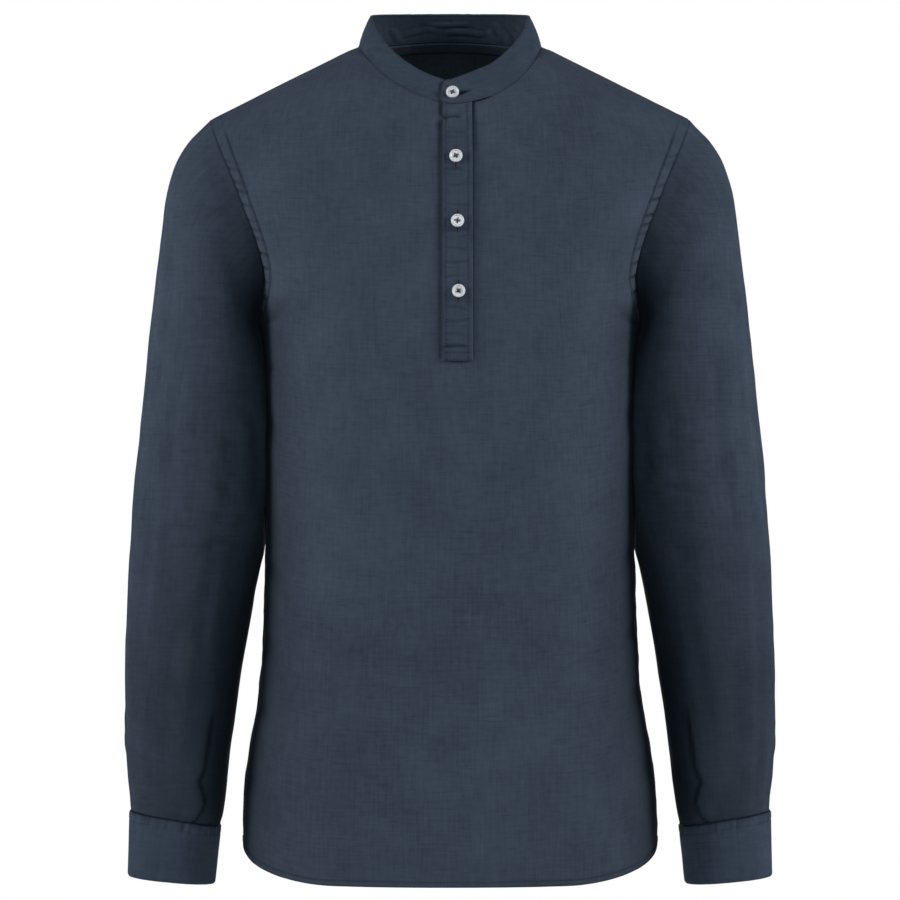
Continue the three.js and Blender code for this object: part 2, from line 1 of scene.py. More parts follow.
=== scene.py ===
# %% [markdown]
# # A navy linen shirt with a band collar
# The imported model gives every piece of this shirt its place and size. This lesson dresses that model:
# each panel is worked out again as a fine sheet on the same form, gets the folds, puckers and stitches
# of real sewing, and a woven linen finish. All lengths are in millimetres until a mesh is made.

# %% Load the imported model
import bpy
import numpy as np
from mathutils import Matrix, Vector


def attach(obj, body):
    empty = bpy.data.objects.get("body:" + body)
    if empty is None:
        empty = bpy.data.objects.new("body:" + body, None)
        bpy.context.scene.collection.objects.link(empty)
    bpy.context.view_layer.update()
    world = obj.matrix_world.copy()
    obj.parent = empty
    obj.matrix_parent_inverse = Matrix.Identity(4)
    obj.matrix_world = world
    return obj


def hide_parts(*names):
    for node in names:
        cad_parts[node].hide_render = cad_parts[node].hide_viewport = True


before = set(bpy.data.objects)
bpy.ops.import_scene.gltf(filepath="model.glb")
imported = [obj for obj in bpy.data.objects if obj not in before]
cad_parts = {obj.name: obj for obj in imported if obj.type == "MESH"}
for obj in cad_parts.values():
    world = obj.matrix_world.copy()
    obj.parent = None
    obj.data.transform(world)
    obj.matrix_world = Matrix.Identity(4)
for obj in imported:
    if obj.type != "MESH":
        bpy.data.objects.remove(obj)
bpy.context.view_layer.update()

print("nodes in the model:", len(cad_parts))

# %% [markdown]
# ## The form of the body
# A pattern cutter draws flat panels, but what the eye sees is the form that they take when worn. Here
# the body is a stack of level rings. Each ring is a superellipse, an ellipse with slightly square
# shoulders, and its half width and depths come from short tables of dimensions. A smooth curve runs
# through the rows of each table, so that the cloth has no kinks.

# %% Dimensions of the body
NECK_HALF = 82.3
NECK_DROP = {"front": -59.0, "back": 10.0}
# the share and the two powers of the front seam's climb
NECK_CLIMB = {"right": (0.5, 1, 4), "left": (0.72, 2, 9)}
TIP_X, TIP_Z = 215.0, -65.7
ARMPIT_Z = -252.0
HEM = {"side": -714.0, "front": -744.0, "back": -754.0, "flat_to": 35.0, "curve": 1.6}
SQUARENESS = 2.3
CLOSING = 2.6
CLOTH = 1.1


def named_columns(names, rows):
    """A table as one array for each named column, with the first column rising."""
    values = np.array(rows, float)
    values = values[np.argsort(values[:, 0])]
    return dict(zip(names.split(), values.T))


DEPTH = named_columns("z front back", [
    (-760, 117, 121), (-700, 115, 121), (-660, 113, 120), (-624, 112, 117), (-590, 112, 112),
    (-550, 113, 106), (-500, 116, 101), (-444, 120, 99), (-350, 130, 108), (-252, 136, 123),
    (-180, 133, 128), (-120, 125, 126), (-60, 118, 119), (10, 116, 114)])
WIDTH = named_columns("z front back", [
    (-760, 184, 184), (-700, 186, 186), (-660, 184, 184), (-624, 179, 179), (-590, 172.5, 172.5),
    (-550, 169, 169), (-500, 167, 167), (-444, 165.6, 165.6), (-350, 167, 167), (-300, 168.2, 168.2),
    (-270, 169.6, 169.8), (-252, 171, 171), (-230, 174.5, 176.5), (-208, 180, 186), (-179, 192, 201),
    (-142, 211, 217), (-89, 236, 235), (10, 268, 265)])
CREST = named_columns("x front back front_sharp back_sharp drop", [
    (0, 2, 36, 1.9, 1, 130), (32, 4, 31, 1.5, 0.94, 132), (60, 5, 17, 1.0, 0.78, 136),
    (82.3, 0, 0, 0.68, 0.62, 140), (110, -13.7, -13.7, 0.54, 0.53, 139),
    (160, -38.5, -38.5, 0.5, 0.5, 128), (215, -65.7, -65.7, 0.5, 0.5, 108)])
ARMHOLE = named_columns("z front back", [
    (-252, 171, 171), (-230, 166, 170.5), (-208, 164, 172), (-179, 170.5, 179), (-142, 184.5, 190),
    (-124, 191.5, 196), (-89, 206.5, 207.5), (-65.7, 215, 215)])
print("rows in the tables:", len(DEPTH["z"]), len(WIDTH["z"]), len(CREST["x"]), len(ARMHOLE["z"]))


# %% Reading the tables, and the body's surface
def mix(a, b, share):
    return a + (b - a) * share


def ease(share):
    """A smooth step: 3 s squared minus 2 s cubed, with s held between 0 and 1."""
    held = np.clip(share, 0, 1)
    return held * held * (3 - 2 * held)


def bump(distance, width):
    """A soft hill: e to the minus (distance over width) squared."""
    return np.exp(-(distance / width) ** 2)


def read(columns, key, column, at):
    """The smooth curve through a table: between two rows, the cubic that meets both values with slopes
    taken from the rows on either side."""
    x, y = columns[key], columns[column]
    slope = np.empty_like(y)
    slope[1:-1] = (y[2:] - y[:-2]) / (x[2:] - x[:-2])
    slope[0] = (y[1] - y[0]) / (x[1] - x[0])
    slope[-1] = (y[-1] - y[-2]) / (x[-1] - x[-2])
    i = np.clip(np.searchsorted(x, at, side="right") - 1, 0, len(x) - 2)
    span = x[i + 1] - x[i]
    s = np.clip((at - x[i]) / span, 0, 1)
    step = s * s * (3 - 2 * s)
    return (mix(y[i], y[i + 1], step)
            + span * (slope[i] * s * (s - 1) ** 2 + slope[i + 1] * s * s * (s - 1)))


def body_reach(side, x, z):
    """How far the body stands before or behind the side seams: the depth of the ring at z, times the
    superellipse (1 - (x / width) ^ 2.3) ^ (1 / 2.3), times the rounding over the shoulders."""
    out = np.abs(x)
    ring = np.clip(1 - (out / read(WIDTH, "z", side, z)) ** SQUARENESS, 0, 1) ** (1 / SQUARENESS)
    below = np.clip((read(CREST, "x", side, out) - z) / read(CREST, "x", "drop", out), 0, 1)
    closed = (1 - (1 - below) ** CLOSING) ** read(CREST, "x", side + "_sharp", out)
    return read(DEPTH, "z", side, z) * ring * closed


def neck_climb(s, side):
    """The share of its drop that the front's neck seam has climbed, s of the way out to the shoulder."""
    share, power, late = NECK_CLIMB[side]
    return mix(s ** late, s ** power, share)


def top_height(side, across):
    """The panel's top edge: the neck seam in the middle, and the shoulder seam outside it."""
    x = np.abs(across) * TIP_X
    s = np.clip(x / NECK_HALF, 0, 1)
    climb = s ** 2 if side == "back" else np.where(across > 0, neck_climb(s, "left"), neck_climb(s, "right"))
    return np.where(x >= NECK_HALF, read(CREST, "x", side, x), NECK_DROP[side] * (1 - climb))


def hem_height(side, across):
    """The hem is level in the middle, and rises along a curve to the side seams."""
    turned = np.degrees(np.arcsin(np.clip(np.abs(across), 0, 1)))
    share = np.clip((turned - HEM["flat_to"]) / (90 - HEM["flat_to"]), 0, 1) ** HEM["curve"]
    return mix(HEM[side], HEM["side"], share)


STRAIGHT, TURNING = 34.0, 40.0  # columns this close to the middle run straight down, as the placket does


def body_point(side, across, z):
    """A point of a panel: x is the panel's edge at that height times the share across, and y the
    reach of the body there."""
    edge = np.where(z > ARMPIT_Z, read(ARMHOLE, "z", side, z), read(WIDTH, "z", side, z))
    middle = 1 - ease((np.abs(across) * TIP_X - STRAIGHT) / TURNING)
    x = mix(edge, TIP_X, middle) * across
    forward = -1 if side == "front" else 1
    return np.stack([x, forward * body_reach(side, x, z), z + 0 * x], -1)


# %% [markdown]
# ## From a grid to a mesh
# Every piece here is a grid of points, a function of two parameters. A few helpers serve all of them:
# they find the way that a surface faces, measure how far a point lies along the cloth, read a place
# between the points of a grid, and turn the grid into a mesh. Each mesh has its own UV map, measured in
# metres along the cloth, so that the weave follows each piece as it would on a cut panel.

# %% Grid helpers
METRE = 0.001


def unit(vectors):
    return vectors / np.maximum(np.linalg.norm(vectors, axis=-1, keepdims=True), 1e-9)


def normals(grid, around=False):
    """The cross product of the steps along the two directions of the grid, made one long."""
    along = np.roll(grid, -1, 1) - np.roll(grid, 1, 1) if around else np.gradient(grid, axis=1)
    return unit(np.cross(along, np.gradient(grid, axis=0)))


def lengths(grid, axis):
    """Distance along the cloth from the grid's first row or column, summed step by step."""
    step = np.linalg.norm(np.diff(grid, axis=axis), axis=-1)
    return np.concatenate([np.zeros_like(np.take(step, [0], axis)), np.cumsum(step, axis)], axis)


def sample(grid, rows, columns):
    """Values of a grid at rows and columns that may be fractions, mixed from the four points around."""
    i = np.clip(np.floor(rows).astype(int), 0, grid.shape[0] - 2)
    j = np.clip(np.floor(columns).astype(int), 0, grid.shape[1] - 2)
    s, t = (rows - i)[..., None], (columns - j)[..., None]
    return mix(mix(grid[i, j], grid[i, j + 1], t), mix(grid[i + 1, j], grid[i + 1, j + 1], t), s)


def grid_faces(tall, wide, around=False):
    """Corner numbers of each four-sided face, anticlockwise as seen from the side that it faces."""
    spans = wide if around else wide - 1
    i, j = np.meshgrid(np.arange(tall - 1), np.arange(spans), indexing="ij")
    k = (j + 1) % wide
    return np.stack([i * wide + j, i * wide + k, (i + 1) * wide + k, (i + 1) * wide + j], -1)


def make_mesh(name, points, faces, uv=None, marks=None):
    """Writes points in metres, faces, a UV for each face corner and named values for each point."""
    mesh = bpy.data.meshes.new(name)
    flat = faces.reshape(-1, faces.shape[-1])
    mesh.vertices.add(len(points))
    mesh.vertices.foreach_set("co", (points * METRE).astype(np.float32).ravel())
    mesh.loops.add(flat.size)
    mesh.loops.foreach_set("vertex_index", flat.astype(np.int32).ravel())
    mesh.polygons.add(len(flat))
    mesh.polygons.foreach_set("loop_start", np.arange(0, flat.size, flat.shape[1], dtype=np.int32))
    mesh.polygons.foreach_set("use_smooth", np.ones(len(flat), bool))
    mesh.update(calc_edges=True)
    if uv is not None:
        layer = mesh.uv_layers.new(name="cloth")
        layer.data.foreach_set("uv", (uv * METRE).astype(np.float32).ravel())
    for mark, values in (marks or {}).items():
        attribute = mesh.attributes.new(mark, "FLOAT", "POINT")
        attribute.data.foreach_set("value", np.asarray(values, np.float32).ravel())
    mesh.validate()
    piece = bpy.data.objects.new(name, mesh)
    bpy.context.scene.collection.objects.link(piece)
    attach(piece, "root")
    return piece


def corner_uv(u, v):
    """UV of each face corner, from the flat place of each grid point."""
    flat = np.stack([u, v], -1)
    return np.stack([flat[:-1, :-1], flat[:-1, 1:], flat[1:, 1:], flat[1:, :-1]], 2)


def cloth_uv(grid, around=False):
    """UV of each face corner: distance along the row and up the column, in millimetres of cloth."""
    closed = np.concatenate([grid, grid[:, :1]], 1) if around else grid
    u, v = lengths(closed, 1), lengths(closed, 0)
    return corner_uv(u - u[:, closed.shape[1] // 2, None], v)


def sheet_piece(name, grid, around=False, keep=None, marks=None, uv=None):
    """A single sheet on a grid, thickened inwards by a Solidify modifier."""
    faces = grid_faces(*grid.shape[:2], around)
    uv = cloth_uv(grid, around) if uv is None else uv
    if keep is not None:
        faces, uv = faces[keep], uv[keep]
    piece = make_mesh(name, grid.reshape(-1, 3), faces.reshape(-1, 4), uv.reshape(-1, 2), marks)
    solidify = piece.modifiers.new("cloth", "SOLIDIFY")
    solidify.thickness = CLOTH * METRE
    solidify.offset = -1
    return piece


def doubled_piece(name, grid, thickness, soft, dip=0, marks=None, inner_painted_shade=0):
    """A doubled strip with soft edges. Its half thickness is that of a quarter circle near each edge,
    T / 2 times the root of 1 - (1 - e / soft) squared, where e is the distance from the edge. A dip
    draws both faces together, as a line of stitches or a buttonhole does. The inner face can get more
    painted shade, as the inside of the garment lies in shadow."""
    u, v = lengths(grid, 1), lengths(grid, 0)
    edge = np.minimum(np.minimum(u, u[:, -1:] - u), np.minimum(v, v[-1:] - v))
    half = thickness / 2 * np.sqrt(np.clip(1 - (1 - np.clip(edge / soft, 0, 1)) ** 2, 0, 1)) * (1 - dip)
    facing = normals(grid)
    middle = grid - facing * thickness / 2
    outer, inner = middle + facing * half[..., None], middle - facing * half[..., None]
    tall, wide = grid.shape[:2]
    front = grid_faces(tall, wide)
    number = np.arange(tall * wide).reshape(tall, wide)
    rear = number + tall * wide
    for line in (np.s_[0, :], np.s_[-1, :], np.s_[:, 0], np.s_[:, -1]):
        rear[line] = number[line]
    back = rear.reshape(-1)[front][..., ::-1]
    uv = cloth_uv(grid)
    faces = np.concatenate([front.reshape(-1, 4), back.reshape(-1, 4)])
    both_uv = np.concatenate([uv.reshape(-1, 2), uv[:, :, ::-1].reshape(-1, 2)])
    points = np.concatenate([outer.reshape(-1, 3), inner.reshape(-1, 3)])
    used = np.unique(faces)
    renumber = np.zeros(len(points), int)
    renumber[used] = np.arange(len(used))
    # the inner face's marks get the extra painted shade
    both = {key: np.concatenate([value.ravel(), np.minimum(value.ravel() + inner_painted_shade, 1)])[used]
            for key, value in (marks or {}).items()}
    return make_mesh(name, points[used], renumber[faces], both_uv, both), outer


def mirrored(grid):
    """The other side's copy: x turned round, and the columns too, so that it still faces outwards."""
    return (grid * np.array([-1, 1, 1]))[:, ::-1]


# %% [markdown]
# ## Stitches
# A topstitch is a short length of thread that stands a little above the cloth and dives into it at both
# ends. One stitch is a small closed tube, thick in the middle and pointed at its ends. Hundreds of them
# are set along a seam at once, as one array, and each has only forty faces.

# %% Stitches along a path
STITCH = {"long": 2.3, "pitch": 3.0, "wide": 0.3, "proud": 0.18, "sides": 5, "rings": 4}


def tube_faces(rings, sides):
    """Triangles of a closed tube: a fan at each end, and two triangles for each square between rings.
    Points are numbered ring by ring, with the two end points last."""
    ring = np.arange(rings * sides).reshape(rings, sides)
    turned = np.roll(ring, -1, 1)
    first, last = np.full(sides, rings * sides), np.full(sides, rings * sides + 1)
    return np.concatenate([
        np.stack([ring[:-1], turned[:-1], turned[1:]], -1).reshape(-1, 3),
        np.stack([ring[:-1], turned[1:], ring[1:]], -1).reshape(-1, 3),
        np.stack([first, turned[0], ring[0]], -1),
        np.stack([last, ring[-1], turned[-1]], -1)])


def stitches_on(path, facing):
    """Points of every stitch along a path: a circle of radius wide times the root of sin(pi t), carried
    from one needle hole to the next on the arc proud times sin(pi t) above the cloth."""
    along = lengths(path[None], 1)[0]
    starts = np.arange(STITCH["pitch"], along[-1] - STITCH["long"], STITCH["pitch"])
    share = np.linspace(0, 1, STITCH["rings"] + 2)
    at = starts[:, None] + share * STITCH["long"]
    read_at = lambda values: np.stack([np.interp(at, along, values[:, k]) for k in range(3)], -1)
    up = unit(read_at(facing))
    centre = read_at(path) + up * (STITCH["proud"] * np.sin(np.pi * share))[:, None]
    side = unit(np.cross(centre[:, -1:] - centre[:, :1], up))
    angle = np.linspace(0, 2 * np.pi, STITCH["sides"], endpoint=False)
    radius = STITCH["wide"] * np.sqrt(np.sin(np.pi * share[1:-1]))
    ring = (side[:, 1:-1, None] * np.cos(angle)[:, None] + up[:, 1:-1, None] * np.sin(angle)[:, None])
    rings = centre[:, 1:-1, None] + ring * radius[:, None, None]
    return np.concatenate([rings.reshape(len(starts), -1, 3), centre[:, :1], centre[:, -1:]], 1)


def stitched(name, paths):
    """One mesh of all the stitches along several paths, each given with the way that its cloth faces."""
    points = np.concatenate([stitches_on(path, facing) for path, facing in paths])
    template = tube_faces(STITCH["rings"], STITCH["sides"])
    faces = template + (np.arange(len(points)) * points.shape[1])[:, None, None]
    print(name, "has", len(points), "stitches")
    return make_mesh(name, points.reshape(-1, 3), faces.reshape(-1, 3))


def seam_path(grid, facing, rows, columns):
    rows, columns = np.broadcast_arrays(np.asarray(rows, float), np.asarray(columns, float))
    return sample(grid, rows, columns), sample(facing, rows, columns)


def row_at(grid, distance, from_top=False):
    """For each column, the row that lies this far along the cloth from the hem, or from the top."""
    v = lengths(grid, 0)
    target = v[-1] - distance if from_top else np.full(v.shape[1], distance)
    return np.array([np.interp(target[j], v[:, j], np.arange(len(v))) for j in range(v.shape[1])])


def column_at(grid, distance, from_end=False):
    """For each row, the column that lies this far along the cloth from the first column, or the last."""
    return row_at(np.swapaxes(grid, 0, 1), distance, from_end)


# %% [markdown]
# ## Soft, uneven cloth
# Real cloth is never quite smooth. Two kinds of unevenness are added to each sheet before its mesh is
# made: creases, which are placed one by one with their own length, width and depth, and a slow ripple
# of soft noise. Both push the surface along the way that it faces.

# %% Creases and ripples
def ripple(u, v, size_u, size_v, seed):
    """Soft noise between -1 and 1: random heights on a lattice, joined by smooth steps both ways."""
    heights = np.random.default_rng(seed).uniform(-1, 1, (64, 64))
    a, b = u / size_u + 31.3, v / size_v + 17.7
    i, j = np.floor(a).astype(int), np.floor(b).astype(int)
    s, t = ease(a - i), ease(b - j)
    at = lambda di, dj: heights[(i + di) % 64, (j + dj) % 64]
    return mix(mix(at(0, 0), at(1, 0), s), mix(at(0, 1), at(1, 1), s), t)


def crease(u, v, row):
    """One crease from (u0, v0) to (u1, v1), bowed sideways by `bow`: depth times a hill across it,
    fading at both ends. A negative depth is a trough, and a soft lip rises beside it."""
    u0, v0, u1, v1, width, depth, bow = row
    length = max(np.hypot(u1 - u0, v1 - v0), 1e-6)
    du, dv = (u1 - u0) / length, (v1 - v0) / length
    share = ((u - u0) * du + (v - v0) * dv) / length
    side = (v - v0) * du - (u - u0) * dv - bow * 4 * share * (1 - share)
    fade = ease(share / 0.3 + 0.35) * ease((1 - share) / 0.3 + 0.35)
    lip = bump(side - 1.7 * width, width) + bump(side + 1.7 * width, width)
    return depth * fade * (bump(side, width) - 0.35 * lip)


def creases(u, v, rows):
    return sum((crease(u, v, row) for row in rows), np.zeros_like(u))


# %% [markdown]
# ## Front and back
# The two body panels are large single sheets. Their columns are spaced evenly along the cloth, and
# closer together at the sides, where the armhole seams and side seams are. Near the hem and the neck
# the rows are closer too, for the narrow hem and the seams, and the chest has finer rows than the skirt.

# %% Panel grids
FINE_SHARE, FINE_STEPS = 0.018, 9  # the share of a panel's height, at each end, that has the closest rows
FINE_EDGE = 14.0


def panel_columns(side, count):
    """Shares across a panel, even along the ring at chest height, with close columns at both ends."""
    angle = np.linspace(-np.pi / 2, np.pi / 2, 4001)
    along = lengths(body_point(side, np.sin(angle), np.full_like(angle, -300.0))[None], 1)[0]
    ends = np.linspace(0, FINE_EDGE, FINE_STEPS)
    wanted = [ends[:-1], np.linspace(FINE_EDGE, along[-1] - FINE_EDGE, count), along[-1] - ends[-2::-1]]
    return np.interp(np.concatenate(wanted), along, np.sin(angle))


def panel_rows(skirt, chest):
    """Shares up a panel: close at the hem and the top, and closer on the chest than on the skirt."""
    armpit = (ARMPIT_Z - HEM["side"]) / (TIP_Z - HEM["side"])
    ends = np.linspace(0, FINE_SHARE, FINE_STEPS)
    return np.concatenate([ends[:-1], np.linspace(FINE_SHARE, armpit, skirt)[:-1],
                           np.linspace(armpit, 1 - FINE_SHARE, chest), 1 - ends[-2::-1]])


def panel(side, across, rows):
    a, s = np.meshgrid(across, rows)
    return body_point(side, a, mix(hem_height(side, a), top_height(side, a), s))


PLACKET = {"left": -6.4, "right": 20.0, "bottom": -285.6, "inset": 1.5, "below_band": 0.8}
slot = [PLACKET["left"] + PLACKET["inset"], PLACKET["right"] - PLACKET["inset"]]
front_across = panel_columns("front", 182)
for wanted in slot:
    front_across[np.argmin(np.abs(front_across * TIP_X - wanted))] = wanted / TIP_X
front_base = panel("front", front_across, panel_rows(120, 100))
back_base = panel("back", panel_columns("back", 150), panel_rows(112, 92))[:, ::-1]
print("front grid", front_base.shape, "back grid", back_base.shape)

# %% Where the panels are creased
FRONT_CREASES = [
    (-150, -470, -62, -481, 7, -0.6, 4), (-40, -474, 66, -469, 8, -0.45, -3),
    (62, -487, 148, -477, 6, -0.55, 5),
    (-122, -548, -14, -557, 8, -0.6, 5), (22, -546, 128, -555, 7, -0.6, -5),
    (-64, -588, 38, -582, 9, -0.4, 4),
    (-132, -640, -34, -650, 9, -0.5, 6), (12, -664, 118, -655, 8, -0.5, 5),
    (-74, -690, 58, -699, 10, -0.5, -6),
    (64, -706, 138, -692, 8, -0.5, 5), (-146, -395, -92, -410, 8, -0.4, 3),
    (84, -370, 140, -386, 7, -0.4, -3),
    (-166, -462, -138, -500, 6, -1.3, 3), (-168, -522, -140, -566, 6, -1.3, -3),
    (-172, -585, -146, -632, 7, -1.4, 4),
    (-178, -652, -150, -690, 8, -1.2, 4), (166, -446, 142, -490, 6, -1.2, -3),
    (168, -512, 138, -548, 6, -1.4, 3),
    (170, -570, 148, -618, 7, -1.3, -4), (178, -640, 150, -682, 8, -1.3, -4),
    (-160, -286, -128, -318, 7, -1.0, 3), (-162, -330, -136, -372, 6, -1.1, -3),
    (158, -280, 130, -306, 6, -1.0, -3),
    (162, -322, 134, -366, 7, -1.1, 3), (-150, -205, -118, -190, 6, -0.5, 3),
    (148, -212, 112, -200, 6, -0.5, -3)]
BACK_CREASES = [
    (-140, -452, -40, -464, 8, -0.7, 5), (30, -446, 132, -458, 7, -0.7, -5),
    (-80, -500, 50, -508, 9, -0.6, 6),
    (-130, -556, -20, -548, 8, -0.6, -5), (20, -570, 120, -560, 8, -0.6, 5),
    (-90, -636, 20, -646, 10, -0.5, 6),
    (40, -668, 140, -656, 9, -0.5, -5), (-166, -440, -136, -486, 6, -1.3, 3),
    (-170, -540, -142, -590, 7, -1.3, -3),
    (168, -452, 140, -496, 6, -1.2, -3), (170, -556, 144, -604, 7, -1.3, 4),
    (-176, -640, -150, -684, 8, -1.2, 4),
    (178, -650, 152, -690, 8, -1.2, -4), (-150, -300, -110, -352, 8, -0.9, 4),
    (152, -290, 112, -340, 8, -0.9, -4),
    (-120, -120, -60, -104, 9, -0.4, 4), (60, -108, 124, -118, 9, -0.4, -4)]
FELLED = 10.4  # width of the felled seam round the armhole, and of the one down the side seam on the back
TURNED = 4.6  # depth of the turned hem
ROPES = [-104, -111, -123, -131, -143, -157, -165, -173, -186, -199, -211, -224, -236]  # cross puckers, by height


# %% Seams and folds of the panels
def seam_distances(grid):
    """Distances along the cloth from the nearer side edge, from the top edge and from the hem."""
    u, v = lengths(grid, 1), lengths(grid, 0)
    return np.minimum(u, u[:, -1:] - u), v[-1:] - v, v


def panel_relief(side, grid, rows, seed):
    """How far each point of a panel moves out, and how much painted shade it gets: the creases, the felled
    seam round each armhole, the shoulder seam and the turned hem, each with small uneven puckers. The painted
    shade darkens the seam lines, hem, neck seam and placket edges as shadows do, and the flanks below the arms."""
    edge, top, hem = seam_distances(grid)
    x, z = grid[..., 0], grid[..., 2]
    out = creases(x, z, rows)
    out += 0.3 * ripple(x, z, 64, 40, seed) + 0.13 * ripple(x, z, 24, 14, seed + 1)
    armhole = ease((z - ARMPIT_Z) / 10) if side == "front" else 1.0
    felled = (1 - ease((edge - FELLED) / 1.2)) * armhole
    pucker = ripple(z + 0.6 * np.sign(x) * edge, np.sign(x) * 40, 6.5, 30, seed + 2)
    rope = sum(bump(z - at - 2.5 * np.sign(x) + 0.25 * edge, 1.5) for at in ROPES)
    rope = rope * (0.65 + 0.5 * ripple(z, np.sign(x) * 40, 19, 30, seed + 5))
    seam = armhole * ease((-74 - z) / 16)  # above this the seam turns over the shoulder and lies flat
    raised = seam * (1 - ease((edge - FELLED) / 1.2))
    out += raised * (0.8 + 0.35 * pucker - 1.3 * rope) - 0.5 * seam * bump(edge - FELLED - 0.7, 0.9)
    out += armhole * bump(edge - FELLED - 3.5, 3.2) * 0.3 * pucker
    shoulder = ease((np.abs(x) - NECK_HALF - 2) / 5)
    under_seam = grid[-1:, :, 2] - z
    strip = shoulder if side == "front" else 0 * shoulder  # the felled shoulder seam lies on the front
    out += strip * (0.6 * (1 - ease((under_seam - 2.6) / 0.7)) - 0.25 * bump(under_seam - 3.4, 0.8))
    ropes = ripple(x, hem * 0, 3.1, 30, seed + 3) + 0.6 * ripple(x, hem * 0, 9, 30, seed + 4)
    out += (1 - ease((hem - TURNED) / 0.9)) * (0.5 + 0.22 * ropes) - 0.3 * bump(hem - TURNED - 0.6, 0.9)
    out += bump(hem - TURNED - 4, 4) * 0.2 * ropes
    # Painted shade: dark lines beside the felled seam, along its edge and its cross puckers, a dark strip under the
    # shoulder seam and a line above the hem, where these grooves hold shadow.
    painted_shade = seam * (0.5 * bump(edge - FELLED - 0.6, 0.9) + 0.45 * bump(edge, 1.6) + 0.6 * felled * rope)
    painted_shade += strip * 0.18 * (1 - ease((under_seam - 2.5) / 0.6)) + 0.35 * bump(hem - TURNED - 0.5, 0.8)
    if side == "front":
        # Painted shadow under the band along the neck seam, and beside both edges of the placket.
        painted_shade += 0.5 * bump(top, 1.8) * (1 - shoulder)
        beside = ease((z - PLACKET["bottom"]) / 2)
        painted_shade += beside * (0.5 * bump(x - PLACKET["left"] + 1.9, 1.7)
                           + 0.15 * bump(x - PLACKET["right"] - 1.0, 1.0))
    painted_shade += 0.25 * bump(hem, 1.3) + 0.05 * (1 - ease((hem - TURNED) / 0.8)) * ropes
    # Painted shade on the flanks below the armholes, where the sleeves shadow the body.
    below = ease((ARMPIT_Z + 30 - z) / 40) * mix(1, 0.7, ease((-470 - z) / 120))
    painted_shade += below * (0.62 * (1 - ease((edge - 34) / 34)) + 0.36 * (1 - ease((edge - 60) / 60)))
    # Painted shade: a little darker towards the sides and towards the hem.
    painted_shade += 0.07 * ease((np.abs(x) - 50) / 60) + 0.07 * ease((-430 - z) / 150)
    quiet = ease(top / 4 + 0.1 * shoulder) * ease(edge / 2.5 + 0.1)
    return out * quiet, np.clip(painted_shade, 0, 1)


front_out, front_painted_shade = panel_relief("front", front_base, FRONT_CREASES, 11)
back_out, back_painted_shade = panel_relief("back", back_base, BACK_CREASES, 23)
front_grid = front_base + normals(front_base) * front_out[..., None]
back_grid = back_base + normals(back_base) * back_out[..., None]
print("front moves out by", front_out.min().round(2), "to", front_out.max().round(2), "mm")

# %% Make the panels
centres = (front_base[:-1, :-1, 0] + front_base[1:, 1:, 0]) / 2
lowest = np.minimum(front_base[:-1, :-1, 2], front_base[:-1, 1:, 2])
in_slot = (centres > slot[0]) & (centres < slot[1]) & (lowest > PLACKET["bottom"] + PLACKET["inset"])
front = sheet_piece("front_panel", front_grid, keep=~in_slot, marks={"painted_shade": front_painted_shade})
back = sheet_piece("back_panel", back_grid, marks={"painted_shade": back_painted_shade})
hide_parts("front")
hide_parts("back")

# %% Stitches of the panels
front_facing, back_facing = normals(front_grid), normals(back_grid)
body_paths = []
for side, grid, facing in (("front", front_grid, front_facing), ("back", back_grid, back_facing)):
    wide = np.arange(grid.shape[1])
    body_paths.append(seam_path(grid, facing, row_at(grid, TURNED - 0.4), wide))
    upward = np.arange(grid.shape[0])
    low = 0 if side == "back" else int(np.argmax(grid[:, 0, 2] > ARMPIT_Z))
    for far in (False, True):
        columns = column_at(grid, FELLED - 0.9, far)
        body_paths.append(seam_path(grid, facing, upward[low:-3], columns[low:-3]))
seam_drop = front_grid[-1:, :, 2] - front_grid[..., 2] - 3.3
shoulder_row = np.array([np.interp(0, -fall, np.arange(60, len(seam_drop))) for fall in seam_drop[60:].T])
on_shoulder = np.abs(front_grid[-1, :, 0]) > NECK_HALF + 4
for sign in (-1, 1):
    picked = np.flatnonzero(on_shoulder & (front_grid[-1, :, 0] * sign > 0))[2:-2]
    body_paths.append(seam_path(front_grid, front_facing, shoulder_row[picked], picked))
body_stitches = stitched("body_stitches", body_paths)

# %% [markdown]
# ## Inside of the neck
# Behind the neck, the seam's own allowance is turned down and sewn to the inside of the back. It shows
# from the front, below the band, as a paler strip. It is a copy of the top of the back, moved inwards.

# %% Neck seam strip
STRIP = {"half": 76.0, "deep": 7.8, "in": 1.5, "thick": 0.9}
strip_across = np.linspace(STRIP["half"], -STRIP["half"], 110) / TIP_X
strip_z = top_height("back", strip_across) - np.linspace(STRIP["deep"], 0.2, 12)[:, None]
strip_base = body_point("back", np.broadcast_to(strip_across, strip_z.shape), strip_z)
strip_base = strip_base - normals(strip_base) * STRIP["in"]
neck_strip, _ = doubled_piece("neck_seam_strip", strip_base, STRIP["thick"], 0.6)
print("strip is", lengths(strip_base, 1)[0, -1].round(1), "by", lengths(strip_base, 0)[-1].mean().round(1), "mm")

# %% [markdown]
# ## Sleeves
# Each sleeve is one tube. Its rings run from the armhole's own rim to the cuff, between the outer and
# the inner outline of the arm, and the first rows turn smoothly from the rim into the sleeve. Folds run
# down the sleeve, and shorter ones cross it in front of the elbow. A pleat is pressed in above the cuff.

